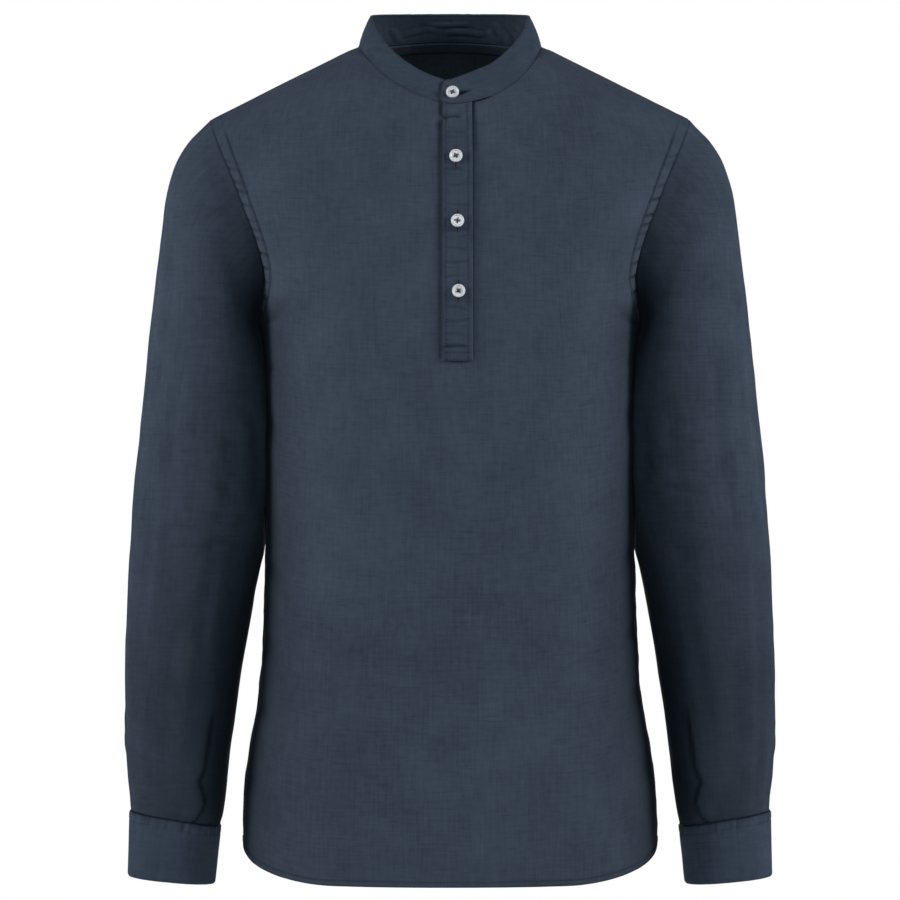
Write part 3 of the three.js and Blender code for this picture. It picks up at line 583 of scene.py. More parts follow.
# %% The sleeve's form
SLEEVE = named_columns("row outer_x outer_z inner_x inner_z front back y", [
    (0, 215, -65.7, 171, -252, 75, 78, 0), (1, 224, -75, 171, -254, 76, 79, 0),
    (2, 234, -86, 170.4, -257, 77, 80, 0), (3, 244, -102, 169, -262, 77, 80, 0),
    (4, 250.5, -120, 166, -268, 77, 80, 0), (5, 255, -140, 161, -277, 76, 78, 0),
    (6, 259.5, -174, 157, -292, 74, 76, 0), (7, 264.6, -210, 154, -312, 72, 73, 0),
    (8, 269, -246, 153, -336, 70, 70, 1), (9, 273.8, -291, 153, -366, 68, 67, 2),
    (10, 279, -345, 155, -400, 65, 64, 3), (11, 283.5, -390, 160, -432, 63, 62, 3),
    (12, 287, -444, 170.5, -468, 61, 60, 2), (13, 290, -498, 179.5, -514, 58, 58, 0),
    (14, 291.5, -552, 188, -564, 56, 56, -3), (15, 291.6, -606, 195, -616, 53, 54, -7),
    (16, 289, -650, 200, -661, 49, 50, -10), (17, 286.5, -674, 203.5, -686.5, 44, 44, -12),
    (18, 286, -684.4, 206, -697.4, 38.5, 38.5, -12.5)])
SLEEVE_LAST = 18
SLEEVE_GIRTH = 330.0  # for the weave, whose yarns run straight down the sleeve
SLEEVE_EASE = 5
SLEEVE_CLEAR = {"armpit": 0.2, "below": 2.0, "from": -258.0, "over": 16.0}
PLEAT = {"top": -585.0, "wide": 24.0, "step": 3.4, "proud": 3.0}
PLEAT_LINE = named_columns("z angle", [
    (-700, 110), (-693, 111), (-684, 119), (-676, 123), (-669, 120), (-657, 113.5), (-644, 120),
    (-599, 124),
    (-560, 126)])


def powered(value):
    """The superellipse's own power of a sine or cosine, with its sign kept."""
    return np.sign(value) * np.abs(value) ** (2 / SQUARENESS)


def body_beside(y, z):
    """Half the width of the body at a distance before or behind the side seam."""
    depth = np.where(y < 0, read(DEPTH, "z", "front", z), read(DEPTH, "z", "back", z))
    width = read(WIDTH, "z", "front", np.minimum(z, ARMPIT_Z))
    return width * np.clip(1 - (np.abs(y) / depth) ** SQUARENESS, 0, 1) ** (1 / SQUARENESS)


def sleeve_point(place, angle):
    """A point between the outer and the inner outline: the cosine shares them, and the sine carries
    the ring forward and back. It stays clear of the body beside it."""
    at = {name: read(SLEEVE, "row", name, place) for name in SLEEVE if name != "row"}
    cosine, sine = powered(np.cos(angle)), powered(np.sin(angle))
    across = (1 + cosine) / 2
    x = mix(at["inner_x"], at["outer_x"], across)
    y = at["y"] - sine * np.where(sine > 0, at["front"], at["back"])
    z = mix(at["inner_z"], at["outer_z"], across)
    lower = ease((SLEEVE_CLEAR["from"] - z) / SLEEVE_CLEAR["over"])
    clear = body_beside(y, z) + mix(SLEEVE_CLEAR["armpit"], SLEEVE_CLEAR["below"], lower)
    return np.stack([np.where(place > 0.3, np.maximum(x, clear), x), y, z], -1)


def armhole_rim(angle):
    """The rim of the armhole: down the front panel's edge from the shoulder, and up the back's."""
    z = mix(ARMPIT_Z, TIP_Z, (1 + np.cos(angle)) / 2)
    rims = [body_point(side, np.ones_like(z), z) for side in ("front", "back")]
    return np.where((np.sin(angle) >= 0)[:, None], rims[0], rims[1])


def sleeve_grid(rings, around):
    place, angle = np.meshgrid(np.linspace(0, SLEEVE_LAST, rings),
                               np.linspace(0, 2 * np.pi, around, endpoint=False), indexing="ij")
    points = sleeve_point(place, angle)
    shift = armhole_rim(angle[0]) - sleeve_point(np.zeros(around), angle[0])
    return points + shift[None] * (1 - ease(place / SLEEVE_EASE))[..., None], angle


# %% Folds of the sleeves
# Each row: angle and height where the fold starts and ends, half width, depth and bow. An angle of 0 is
# the outer side, and 90 is the front.
SLEEVE_CREASES = {
    "right": [
        (26, -190, 24, -560, 9, 0.9, 3), (48, -170, 40, -330, 9, -1.0, 4),
        (66, -300, 74, -470, 8, -1.0, -5),
        (52, -380, 46, -560, 7, -1.1, 4), (92, -330, 98, -500, 9, 0.8, 5),
        (104, -400, 112, -600, 8, -1.1, -4),
        (84, -520, 78, -660, 7, -1.0, 3), (62, -560, 58, -668, 6, 0.8, -3),
        (128, -330, 136, -410, 9, -2.0, 3),
        (72, -386, 112, -398, 5, -1.0, 4), (82, -410, 128, -420, 5, -1.2, -4),
        (66, -436, 104, -430, 6, -0.9, 3),
        (94, -452, 126, -444, 5, -0.9, 3), (70, -492, 100, -498, 5, -0.7, 3),
        (78, -340, 104, -346, 6, -0.6, 3),
        (118, -172, 140, -238, 11, -2.0, 4), (100, -130, 112, -178, 9, -0.9, -3),
        (10, -520, 6, -612, 7, -2.6, 1),
        (4, -596, 3, -632, 3, -2.4, 0), (36, -610, 30, -672, 6, -0.9, 2),
        (150, -420, 156, -560, 9, -1.0, 4),
        (206, -380, 250, -392, 6, -1.2, 4), (214, -412, 262, -404, 6, -1.1, -4),
        (222, -440, 256, -446, 6, -1.0, 3),
        (240, -200, 250, -360, 10, -1.0, 4), (290, -220, 300, -420, 9, -0.9, -4),
        (320, -400, 310, -600, 8, -1.0, 4),
        (262, -480, 270, -640, 8, -1.1, -4), (338, -180, 340, -330, 8, -0.7, 3)],
    "left": [
        (24, -170, 26, -540, 9, 0.9, -3), (44, -210, 50, -360, 9, -1.1, -4),
        (70, -280, 64, -440, 8, -1.0, 5),
        (48, -400, 54, -590, 7, -1.1, -4), (96, -310, 90, -480, 9, 0.8, -5),
        (108, -430, 104, -610, 8, -1.1, 4),
        (80, -540, 86, -664, 7, -0.9, -3), (60, -590, 64, -672, 6, 0.8, 3),
        (132, -320, 134, -400, 9, -1.8, -3),
        (70, -374, 108, -384, 5, -1.1, -4), (86, -402, 130, -396, 5, -1.1, 4),
        (64, -424, 100, -432, 6, -1.0, -3),
        (90, -446, 122, -454, 5, -0.9, -3), (74, -478, 104, -472, 5, -0.8, 3),
        (88, -358, 112, -352, 6, -0.6, -3),
        (116, -180, 142, -232, 11, -2.0, -4), (98, -140, 108, -190, 9, -0.9, 3),
        (11, -530, 6, -616, 7, -2.5, -1),
        (4, -600, 3, -634, 3, -2.3, 0), (34, -600, 32, -668, 6, -0.9, -2),
        (152, -430, 150, -570, 9, -1.0, -4),
        (208, -370, 246, -380, 6, -1.1, -4), (216, -404, 258, -412, 6, -1.2, 4),
        (224, -446, 262, -438, 6, -1.0, -3),
        (244, -210, 252, -350, 10, -1.0, -4), (294, -240, 288, -430, 9, -0.9, 4),
        (316, -420, 322, -590, 8, -1.0, -4),
        (266, -500, 262, -650, 8, -1.1, 4), (336, -190, 342, -340, 8, -0.7, -3)]}


def sleeve_relief(grid, angle, rows, seed):
    """The creases, which run by angle and height, a slow ripple, and the pleat: a rise of the cloth that
    ends in a sharp step at the pleat's line. It also gives the sleeve's painted shade, with a paler streak
    as a painted highlight."""
    z = grid[..., 2]
    down = lengths(grid, 0)
    girth = lengths(np.concatenate([grid, grid[:, :1]], 1), 1)[:, -1]
    heights = z.mean(1)
    turned = np.degrees(angle)
    out = np.zeros_like(z)
    for a0, z0, a1, z1, *form in rows:
        scale = np.interp((z0 + z1) / 2, heights[::-1], girth[::-1]) / 360
        for lap in (-360, 0, 360):
            out += crease((turned + lap) * scale, z, (a0 * scale, z0, a1 * scale, z1, *form))
    across, forward = np.cos(angle) * 60, np.sin(angle) * 60
    out += 0.4 * ripple(forward + 0.3 * across, z, 30, 60, seed) + 0.3 * ripple(across, z, 20, 38, seed + 1)
    out += 0.16 * ripple(forward, z, 11, 15, seed + 2)
    past = turned - np.interp(z, PLEAT_LINE["z"], PLEAT_LINE["angle"])
    pleat = ease(past / PLEAT["wide"] + 1) * (1 - ease(past / PLEAT["step"])) * ease((PLEAT["top"] - z) / 60)
    # Painted shade: a shadow line at the pleat's step, a dark line along the armhole seam, a dark sliver in the fold on
    # the outer side above the cuff, and a shadow on the front below the armhole.
    painted_shade = 0.75 * bump(past - PLEAT["step"] * 0.7, 3.0) * ease((PLEAT["top"] - z) / 40)
    painted_shade += 0.4 * bump(down, 1.6)
    sliver = bump(turned - 1, 7) + bump(turned - 361, 7)
    painted_shade += 0.7 * sliver * ease((-560 - z) / 40) * ease((z + 640) / 14)
    painted_shade += 0.5 * bump(turned - 132, 30) * bump(down, 55)
    # A painted highlight: a paler streak down the front of the sleeve, where the painted shade is taken away.
    painted_shade += -0.14 * bump(turned - 29 - 5 * np.sin(z / 70), 5.5)
    # Painted shade over the whole sleeve, growing towards the cuff and on the side that faces the body.
    painted_shade += 0.14 + 0.28 * ease((-330 - z) / 260) + 0.42 * bump(turned - 160, 50) * ease((-140 - z) / 80)
    held = ease(down / 10) * ease((down[-1:] - down) / 8)
    return (1.35 * out + PLEAT["proud"] * pleat) * held, np.clip(painted_shade, 0, 0.95)


# %% Make the sleeves
sleeve_base, sleeve_angle = sleeve_grid(260, 116)
sleeves = {}
for side, sign in (("left", 1), ("right", -1)):
    out, painted_shade = sleeve_relief(sleeve_base, sleeve_angle, SLEEVE_CREASES[side], 31 if sign > 0 else 47)
    grid = sleeve_base + normals(sleeve_base, True) * out[..., None]
    if sign < 0:
        grid, painted_shade = mirrored(grid), painted_shade[:, ::-1]
    flat_u = np.linspace(0, SLEEVE_GIRTH, grid.shape[1] + 1)[None] + np.zeros((grid.shape[0], 1))
    flat_v = np.concatenate([grid, grid[:, :1]], 1)[..., 2]
    sleeves[side] = sheet_piece("sleeve_cloth_" + side, grid, True, None, {"painted_shade": painted_shade}, corner_uv(flat_u, flat_v))
    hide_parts("sleeve_" + side)
print("sleeve grid", sleeve_base.shape)

# %% [markdown]
# ## Collar band
# The band stands on the neck seam. It is cut as one doubled strip whose ends lap at the front. Its upper
# end has a rounded corner, and a buttonhole that the button pulls open. Both long edges are topstitched,
# and behind the neck the band wrinkles a little where it bends.

# %% The band's form
BAND = {"half_top": 71.0, "front_y": 48.0, "front_z": -35.2, "side_z": 29.0, "back_y": 39.0, "back_z": 34.4,
        "crown": 1.2, "under_end": 12.6, "upper_end": 5.6, "ramp_from": 324.0, "ramp_to": 342.0, "tuck": 1.0}
LAID_ON = 0.5
DOUBLED = 2.0


def band_point(angle, up, out):
    """Between the neck seam and the band's top ring: up is the share of the way, bowed out by a small
    sine crown, and out is the distance moved off the surface. The lower edge is tucked over the seam."""
    sine, cosine = np.sin(angle), np.cos(angle)
    across = NECK_HALF * sine / TIP_X
    low = np.where((cosine >= 0)[..., None],
                   body_point("front", across, top_height("front", across)),
                   body_point("back", across, top_height("back", across)))
    turned = np.abs(sine)
    climb = 0.4 * turned + 0.48 * turned ** 3 + 0.12 * turned ** 20
    top_y = np.where(cosine >= 0, -BAND["front_y"], BAND["back_y"]) * np.abs(cosine)
    top_z = np.where(cosine >= 0, mix(BAND["front_z"], BAND["side_z"], climb),
                     mix(BAND["side_z"], BAND["back_z"], np.abs(cosine)))
    high = np.stack([BAND["half_top"] * sine, top_y, top_z], -1)
    rise = high - low
    around = np.stack([cosine, sine, 0 * sine], -1)
    facing = unit(np.cross(around, rise))
    tall = np.linalg.norm(rise, axis=-1)
    lift = mix(-BAND["tuck"], tall, up) / tall
    return low + rise * lift[..., None] + facing * (BAND["crown"] * np.sin(np.pi * up) + out)[..., None]


def band_grid(rows, columns):
    """The band's grid from its upper end, round the neck, to its under end, with the rounded corner."""
    turn, up = np.meshgrid(np.linspace(-360 - BAND["upper_end"], BAND["under_end"], columns),
                           np.linspace(0, 1, rows))
    past = np.clip((-turn - 360) / BAND["upper_end"], 0, 1)
    corner = mix(0.45, 1, np.sqrt(np.clip(1 - past ** 1.5, 0, 1)))
    lapped = ease((-turn - BAND["ramp_from"]) / (BAND["ramp_to"] - BAND["ramp_from"]))
    return band_point(np.radians(turn), up * corner, lapped * (DOUBLED + LAID_ON)), turn


# %% Make the band
EDGE_STITCH = 2.2  # from each edge of the band, cuffs and placket to the line of stitches
HOLE = {"from": 12.0, "to": 29.0, "up": 0.33, "half": 2.1}
BAND_WRINKLES = [  # by angle from the middle of the back, and height above the seam
    (-44, 3, -34, 21, 2.4, -1.0, 1.5), (-36, 2, -28, 14, 2.0, -0.9, -1.2), (-24, 8, 2, 10, 2.2, -0.9, 0.8),
    (10, 13, 34, 8, 2.2, -0.7, 1.2), (-14, 18, 14, 17, 2.0, -0.5, -0.6), (36, 3, 44, 16, 2.2, -0.7, 1),
    (52, 6, 58, 20, 2.0, -0.5, -1), (-60, 5, -54, 19, 2.2, -0.6, 1)]
band_base, band_turn = band_grid(36, 420)
band_u, band_v = lengths(band_base, 1), lengths(band_base, 0)
behind = band_turn + 180
placed_wrinkles = [(a0 * 0.9, v0, a1 * 0.9, v1, *form) for a0, v0, a1, v1, *form in BAND_WRINKLES]
wrinkle = 1.7 * creases(behind * 0.9, band_v, placed_wrinkles)
wrinkle += 0.22 * ripple(band_u, band_v, 16, 30, 61) + 0.12 * ripple(band_u, band_v, 5, 9, 62)
band_base = band_base + normals(band_base) * (wrinkle * ease(band_v / 5))[..., None]
band_tall = band_v[-1:]
hole_share = np.clip((band_u - HOLE["from"]) / (HOLE["to"] - HOLE["from"]), 0, 1)
hole_half = HOLE["half"] * np.sqrt(np.clip(np.sin(np.pi * hole_share ** 0.6), 0, 1))
hole = 1 - ease((np.abs(band_v - HOLE["up"] * band_tall) / np.maximum(hole_half, 0.05) - 0.75) / 0.5)
band_edge = np.minimum(np.minimum(band_v, band_tall - band_v), np.minimum(band_u, band_u[:, -1:] - band_u) + 0.2)
band_line = bump(band_edge - EDGE_STITCH, 0.5)
# Painted shade: the stitch lines, the open buttonhole, painted dark as the shadow inside it, and the edge at the upper
# end; the band's inside gets more painted shade.
band_painted_shade = np.clip(0.28 * band_line + 0.95 * hole + 0.5 * bump(band_u, 0.9), 0, 1)
band, band_outer = doubled_piece("collar_band_cloth", band_base, DOUBLED, 1.2,
                                 dip=np.clip(0.3 * band_line + 0.95 * hole, 0, 0.97),
                                 marks={"painted_shade": band_painted_shade}, inner_painted_shade=0.38)
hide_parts("collar_band")
band_facing = normals(band_outer)
print("band is", lengths(band_base, 1)[0, -1].round(), "mm long")

# %% [markdown]
# ## Placket
# The opening at the front is finished by two strips: the upper one lies on the front with a folded
# edge, and the under one sits in the slot behind it. The upper strip is stitched down both sides and
# boxed at its foot, and it has an upright buttonhole behind each button.

# %% Placket strips
PLACKET_STITCH = {"left": 3.1, "right": 4.3, "foot": 1.4, "box": 7.2}
PLACKET_LEAN = 0.4  # the strip's top lies this far to the wearer's right of its foot
PLACKET_CREASES = [
    (-5, -71, 17, -70, 3.2, -1.6, -2), (2, -74, 22, -73, 1.6, -0.4, 1),
    (1, -86.5, 22, -88, 1.5, -0.5, 0.5), (3, -92, 19, -91, 1.3, -0.4, 0),
    (1, -120, 20, -121, 1.7, -0.5, 1), (5, -134, 24, -131, 1.6, -0.35, -1),
    (4, -149.5, 25, -150.5, 1.5, -0.4, -1),
    (2, -174, 23, -173, 1.7, -0.5, 1), (3, -188, 20, -190, 1.5, -0.35, 0.5),
    (2, -201, 24, -199, 1.6, -0.45, -1),
    (2, -214, 18, -213, 1.5, -0.3, 1), (3, -240, 22, -242, 1.7, -0.45, 1),
    (2, -252, 24, -250, 1.5, -0.4, -1),
    (1, -263, 20, -264, 1.6, -0.4, 0.6), (0, -273.6, 21, -273, 1.5, -0.8, 0.4)]
BUTTON_SPOTS = [("button_placket_1", 5.2, -108.4), ("button_placket_2", 6.5, -164.4), ("button_placket_3", 7.4, -225)]
BUTTONHOLE = {"half_long": 8.8, "half_wide": 0.55, "bead": 0.5}


def strip_grid(left, right, bottom, columns, rows):
    """A strip over the front panel, from a height up to just below the neck seam."""
    x = np.linspace(left, right, columns)
    top = top_height("front", x / TIP_X) - PLACKET["below_band"]
    z = mix(bottom, top[None], np.linspace(0, 1, rows)[:, None])
    x = x - PLACKET_LEAN * (z - bottom) / (top - bottom)
    return np.stack([x, -body_reach("front", x, z), z], -1)


upper_base = strip_grid(PLACKET["left"], PLACKET["right"], PLACKET["bottom"], 42, 300)
upper_u, upper_v = lengths(upper_base, 1), lengths(upper_base, 0)
upper_x, upper_z = upper_base[..., 0], upper_base[..., 2]
wave = 0.45 * ripple(upper_z, upper_z * 0, 11, 30, 71)
upper_folds = creases(upper_u, upper_z, PLACKET_CREASES)
upper_out = 1.5 * upper_folds + 0.16 * ripple(upper_u, upper_z, 9, 6, 72)
upper_out += 0.3 * ripple(upper_u, upper_z, 30, 17, 73)
upper_base = upper_base + normals(upper_base) * (LAID_ON + DOUBLED + upper_out)[..., None]
upper_lines = bump(upper_u - PLACKET_STITCH["left"] - wave, 0.45) + bump(
    upper_u[:, -1:] - upper_u - PLACKET_STITCH["right"] - wave, 0.45)
inside = ease((upper_u - 1.5) / 0.5) * ease((upper_u[:, -1:] - upper_u - 1.5) / 0.5)
upper_lines += inside * (bump(upper_v - PLACKET_STITCH["foot"], 0.45) + bump(upper_v - PLACKET_STITCH["box"], 0.45))
slits = np.zeros_like(upper_x)
for _, x, z in BUTTON_SPOTS:
    tall_share = np.clip(np.abs(upper_z - z) / BUTTONHOLE["half_long"], 0, 1)
    slit_half = BUTTONHOLE["half_wide"] * np.sqrt(1 - tall_share ** 4) + 1e-3
    slits += (1 - ease((np.abs(upper_x - x) - slit_half) / 0.4)) * (tall_share < 1)
# Painted shadow along the folded edge and under the fold at the foot; the stitch lines, the buttonhole slits and the
# crease troughs get painted shade too.
fold_shadow = 0.35 * bump(upper_u - 0.3, 0.8) + 0.25 * bump(upper_z + 273.4, 1.1)
placket, placket_outer = doubled_piece(
    "placket_upper_cloth", upper_base, DOUBLED, 1.0, dip=np.clip(0.32 * upper_lines + 0.8 * slits, 0, 0.9),
    marks={"painted_shade": np.clip(0.45 * upper_lines + 0.9 * slits + fold_shadow - 0.35 * np.minimum(upper_folds, 0), 0, 1)})
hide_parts("placket_upper")
placket_facing = normals(placket_outer)
inset = PLACKET["inset"] + LAID_ON
under_base = strip_grid(PLACKET["left"] + inset, PLACKET["right"] - inset, PLACKET["bottom"] + inset, 12, 120)
under, _ = doubled_piece("placket_under_cloth", under_base, 1.4, 0.8)
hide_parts("placket_under")


# %% Buttonhole threads
def beaded_loop(path, facing, radius, sides=8):
    """A thread laid round a closed path: circles square to the path, joined ring to ring."""
    along = unit(np.roll(path, -1, 0) - np.roll(path, 1, 0))
    side = unit(np.cross(along, facing))
    angle = np.linspace(0, 2 * np.pi, sides, endpoint=False)
    circle = side[:, None] * np.cos(angle)[:, None] + facing[:, None] * np.sin(angle)[:, None]
    rings = path[:, None] + radius * circle
    ring = np.arange(rings.shape[0] * sides).reshape(-1, sides)
    ahead, turned = np.roll(ring, -1, 0), np.roll(ring, -1, 1)
    faces = np.stack([ring, turned, np.roll(ahead, -1, 1), ahead], -1)
    return rings.reshape(-1, 3), faces.reshape(-1, 4)


def stadium(half_long, half_wide, count):
    """A long loop: y is half_long times the cosine, and x is half_wide times the sine's own cube root."""
    t = np.linspace(0, 2 * np.pi, count, endpoint=False)
    return half_wide * np.cbrt(np.sin(t)), half_long * np.cos(t)


loops = []
hole_wide, hole_long = stadium(BUTTONHOLE["half_long"] + 0.5, BUTTONHOLE["half_wide"] + 0.55, 90)
for _, x, z in BUTTON_SPOTS:
    row = np.interp(z + hole_long, placket_outer[:, 20, 2], np.arange(placket_outer.shape[0]))
    column = (x + hole_wide - PLACKET["left"]) / (PLACKET["right"] - PLACKET["left"]) * (placket_outer.shape[1] - 1)
    path, facing = sample(placket_outer, row, column), unit(sample(placket_facing, row, column))
    loops.append(beaded_loop(path + facing * 0.1, facing, BUTTONHOLE["bead"]))
t = np.linspace(0, 2 * np.pi, 110, endpoint=False)
loop_share = (1 - np.cos(t)) / 2
loop_u = mix(HOLE["from"] - 0.6, HOLE["to"] + 0.8, loop_share)
loop_open = np.sqrt(np.abs(np.sin(np.pi * np.clip(loop_share, 0, 1) ** 0.6)))
loop_half = (HOLE["half"] + 0.35) * np.sign(np.sin(t)) * loop_open
column = np.interp(loop_u, band_u[18], np.arange(band_u.shape[1]))
band_height = np.interp(column, np.arange(band_u.shape[1]), band_tall[0])
row = (HOLE["up"] * band_height + loop_half) / band_height * (band_outer.shape[0] - 1)
path, facing = sample(band_outer, row, column), unit(sample(band_facing, row, column))
loops.append(beaded_loop(path, facing, 0.42))
starts = np.cumsum([0] + [len(points) for points, _ in loops[:-1]])
buttonholes = make_mesh("buttonhole_threads", np.concatenate([points for points, _ in loops]),
                        np.concatenate([faces + start for (_, faces), start in zip(loops, starts)]))

# %% Stitches of the band and placket
wide = np.arange(band_outer.shape[1])[3:-3]
upward = np.arange(placket_outer.shape[0])
collar_paths = [
    seam_path(band_outer, band_facing, row_at(band_outer, EDGE_STITCH, True)[wide], wide),
    seam_path(band_outer, band_facing, row_at(band_outer, EDGE_STITCH)[wide], wide)]
per_column = (placket_outer.shape[1] - 1) / (PLACKET["right"] - PLACKET["left"])
left_line = (PLACKET_STITCH["left"] + wave[:, 0]) * per_column
right_line = (PLACKET["right"] - PLACKET["left"] - PLACKET_STITCH["right"] - wave[:, 0]) * per_column
per_row = (placket_outer.shape[0] - 1) / upper_v[-1, 20]
for line in (left_line, right_line):
    collar_paths.append(seam_path(placket_outer, placket_facing, upward[2:], line[2:]))
for height in (PLACKET_STITCH["foot"], PLACKET_STITCH["box"]):
    across = np.linspace(2, placket_outer.shape[1] - 3, 30)
    collar_paths.append(seam_path(placket_outer, placket_facing, height * per_row, across))
front_stitches = stitched("collar_and_placket_stitches", collar_paths)

# %% [markdown]
# ## Cuffs and sleeve plackets
# A cuff is a doubled strip that laps over itself behind the wrist, where one button holds it. Its edges
# are topstitched, and its upper edge puckers where the fuller sleeve is gathered into it. The slit above
# the cuff is finished by a narrow strip.

# %% Cuffs
CUFF = {"top": (286.3, -684.9, 206.2, -697.9, 38.5), "bottom": (287.8, -743.5, 211.5, -750.5, 35.5),
        "y": -12.5, "lap_at": 302.0, "lap": 34.0, "ramp_from": 1.2, "ramp_long": 0.9, "snug": 0.9}


def cuff_point(up, angle, out):
    """Between the cuff's lower and upper rings, which are superellipses as the sleeve's are."""
    outer_x, outer_z, inner_x, inner_z, half = (mix(b, t, up) for b, t in zip(CUFF["bottom"], CUFF["top"]))
    cosine, sine = powered(np.cos(angle)), powered(np.sin(angle))
    x = (outer_x + inner_x) / 2 + cosine * ((outer_x - inner_x) / 2 + out)
    return np.stack([x, CUFF["y"] - sine * (half + out), mix(inner_z, outer_z, (1 + cosine) / 2)], -1)


def cuff_grid(rows, columns):
    """The cuff's grid, once round from the under end and on over the lap, which rises over it."""
    turn, up = np.meshgrid(np.linspace(CUFF["lap_at"], CUFF["lap_at"] + 360 + CUFF["lap"], columns),
                           np.linspace(0, 1, rows))
    past = (turn - CUFF["lap_at"] - 360) / CUFF["lap"]
    lapped = ease((past + CUFF["ramp_from"]) / CUFF["ramp_long"])
    return cuff_point(up, np.radians(turn), lapped * (DOUBLED + LAID_ON) - CUFF["snug"])


# %% Make the cuffs
cuff_base = cuff_grid(38, 230)
cuffs, cuff_paths = {}, []
for side, seed in (("left", 81), ("right", 91)):
    grid = cuff_base if side == "left" else mirrored(cuff_base)
    u, v = lengths(grid, 1), lengths(grid, 0)
    top = v[-1:] - v
    gather = ripple(u, v * 0, 2.6, 30, seed)
    lift = 0.28 * ripple(u, v, 24, 18, seed + 1) + 0.6 * gather * bump(top - 4, 5) + 0.2 * gather * bump(v - 3, 4)
    grid = grid + normals(grid) * lift[..., None]
    edge = np.minimum(np.minimum(top, v), np.minimum(u, u[:, -1:] - u))
    lines = bump(edge - EDGE_STITCH, 0.55) + bump(top - 8.2, 0.55)
    # Painted shade: a little over the whole cuff, more at the stitch lines, the top edge and the gathers, where shadow
    # falls.
    painted_shade = 0.1 + 0.35 * lines + 0.5 * bump(top, 1.2) + 0.35 * gather * bump(top - 5, 4)
    cuffs[side], outer = doubled_piece("cuff_cloth_" + side, grid, DOUBLED, 1.4, dip=0.3 * np.clip(lines, 0, 1),
                                       marks={"painted_shade": np.clip(painted_shade, 0, 1)})
    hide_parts("cuff_" + side)
    facing, wide = normals(outer), np.arange(outer.shape[1])[2:-2]
    for distance, from_top in ((EDGE_STITCH, True), (8.2, True), (EDGE_STITCH, False)):
        cuff_paths.append(seam_path(outer, facing, row_at(outer, distance, from_top)[wide], wide))
print("cuff is", lengths(cuff_base, 1)[0, -1].round(), "mm long")

# %% Sleeve plackets
VENT = {"rings": (19.6, 23.9), "columns": (18.7, 20.3), "all_rings": 24, "all_columns": 22}
vent_row, vent_angle = np.meshgrid(
    np.linspace(VENT["rings"][0], VENT["rings"][1], 60) * SLEEVE_LAST / VENT["all_rings"],
    np.linspace(VENT["columns"][0], VENT["columns"][1], 20) * 2 * np.pi / VENT["all_columns"], indexing="ij")
vent_base = sleeve_point(vent_row, vent_angle)
vent_base = vent_base + normals(vent_base) * (LAID_ON + DOUBLED)
vents = {}
for side in ("left", "right"):
    grid = vent_base if side == "left" else mirrored(vent_base)
    u, v = lengths(grid, 1), lengths(grid, 0)
    edge = np.minimum(np.minimum(u, u[:, -1:] - u), v[-1:] - v)
    line = bump(edge - EDGE_STITCH, 0.6)
    # The stitch lines get painted shade.
    vents[side], outer = doubled_piece("sleeve_placket_cloth_" + side, grid, DOUBLED, 1.0, dip=0.3 * line,
                                       marks={"painted_shade": 0.3 * line})
    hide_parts("sleeve_placket_" + side)
    facing, upward = normals(outer), np.arange(outer.shape[0])[2:-2]
    for far in (False, True):
        cuff_paths.append(seam_path(outer, facing, upward, column_at(outer, EDGE_STITCH, far)[2:-2]))
cuff_stitches = stitched("cuff_stitches", cuff_paths)

# %% [markdown]
# ## Buttons
# The buttons are pale polyester with four holes, sewn with navy thread that crosses between the holes.
# A button is a profile turned round its axis on a round grid. The four holes are pressed into its dish,
# as deep as the button is thick, and two crossed threads lie over them.

# %% Button shapes
BUTTON = {"hole": 0.72, "hole_at": 1.25}
SHANK = 0.3
PROFILE = named_columns("order r y", [
    (0, 0.01, 1.8), (1, 4.0, 1.8), (2, 4.35, 2.05), (3, 4.6, 2.42), (4, 5.0, 2.5), (5, 5.4, 2.36),
    (6, 5.68, 2.0),
    (7, 5.75, 1.5), (8, 5.75, 0.9), (9, 5.6, 0.4), (10, 5.2, 0.06), (11, 4.4, 0.0), (12, 0.01, 0.0)])


def button_rings(sides):
    """Rings from the middle of the dish, over the rim, to the middle of the underside. The four holes
    are soft steps down from the dish, 1.7 mm deep."""
    dish = np.linspace(0, 1, 17)
    order = np.concatenate([dish, np.linspace(1, 12, 34)[1:]])
    r = np.interp(order, PROFILE["order"], PROFILE["r"])
    y = np.interp(order, PROFILE["order"], PROFILE["y"])
    angle = np.linspace(0, 2 * np.pi, sides, endpoint=False)
    a, b = r[:, None] * np.cos(angle), r[:, None] * np.sin(angle)
    at = BUTTON["hole_at"]
    near = np.minimum(np.abs(np.abs(a) - at), 9) ** 2 + (np.abs(b) - at) ** 2
    hole = 1 - ease((np.sqrt(near) - BUTTON["hole"]) / 0.25)
    deep = np.where((order <= 1)[:, None], 1.7 * hole, 0)
    return np.stack([a, b, y[:, None] - deep], -1)


def thread_bars(strands=3):
    """Two bundles of thread from hole to hole, crossing over the middle, as slim closed tubes."""
    share = np.linspace(0, 1, 8)
    angle = np.linspace(0, 2 * np.pi, 6, endpoint=False)
    tubes = []
    for turn in (1, -1):
        way = unit(np.array([1.0, turn, 0.0]))
        side = np.array([-way[1], way[0], 0.0])
        reach = np.hypot(BUTTON["hole_at"], BUTTON["hole_at"])
        for strand in range(strands):
            offset = (strand - (strands - 1) / 2) * 0.42
            height = 1.55 + 0.85 * np.sin(np.pi * share) ** 0.5 + (0.25 if turn > 0 else 0)
            centre = (way * mix(-reach, reach, share)[:, None] + side * offset
                      + np.array([0, 0, 1.0]) * height[:, None])
            ring = side * np.cos(angle)[:, None] + np.array([0, 0, 1.0]) * np.sin(angle)[:, None]
            rings = centre[:, None] + 0.24 * ring[None]
            tubes.append(np.concatenate([rings.reshape(-1, 3), centre[:1], centre[-1:]]))
    return np.stack(tubes)


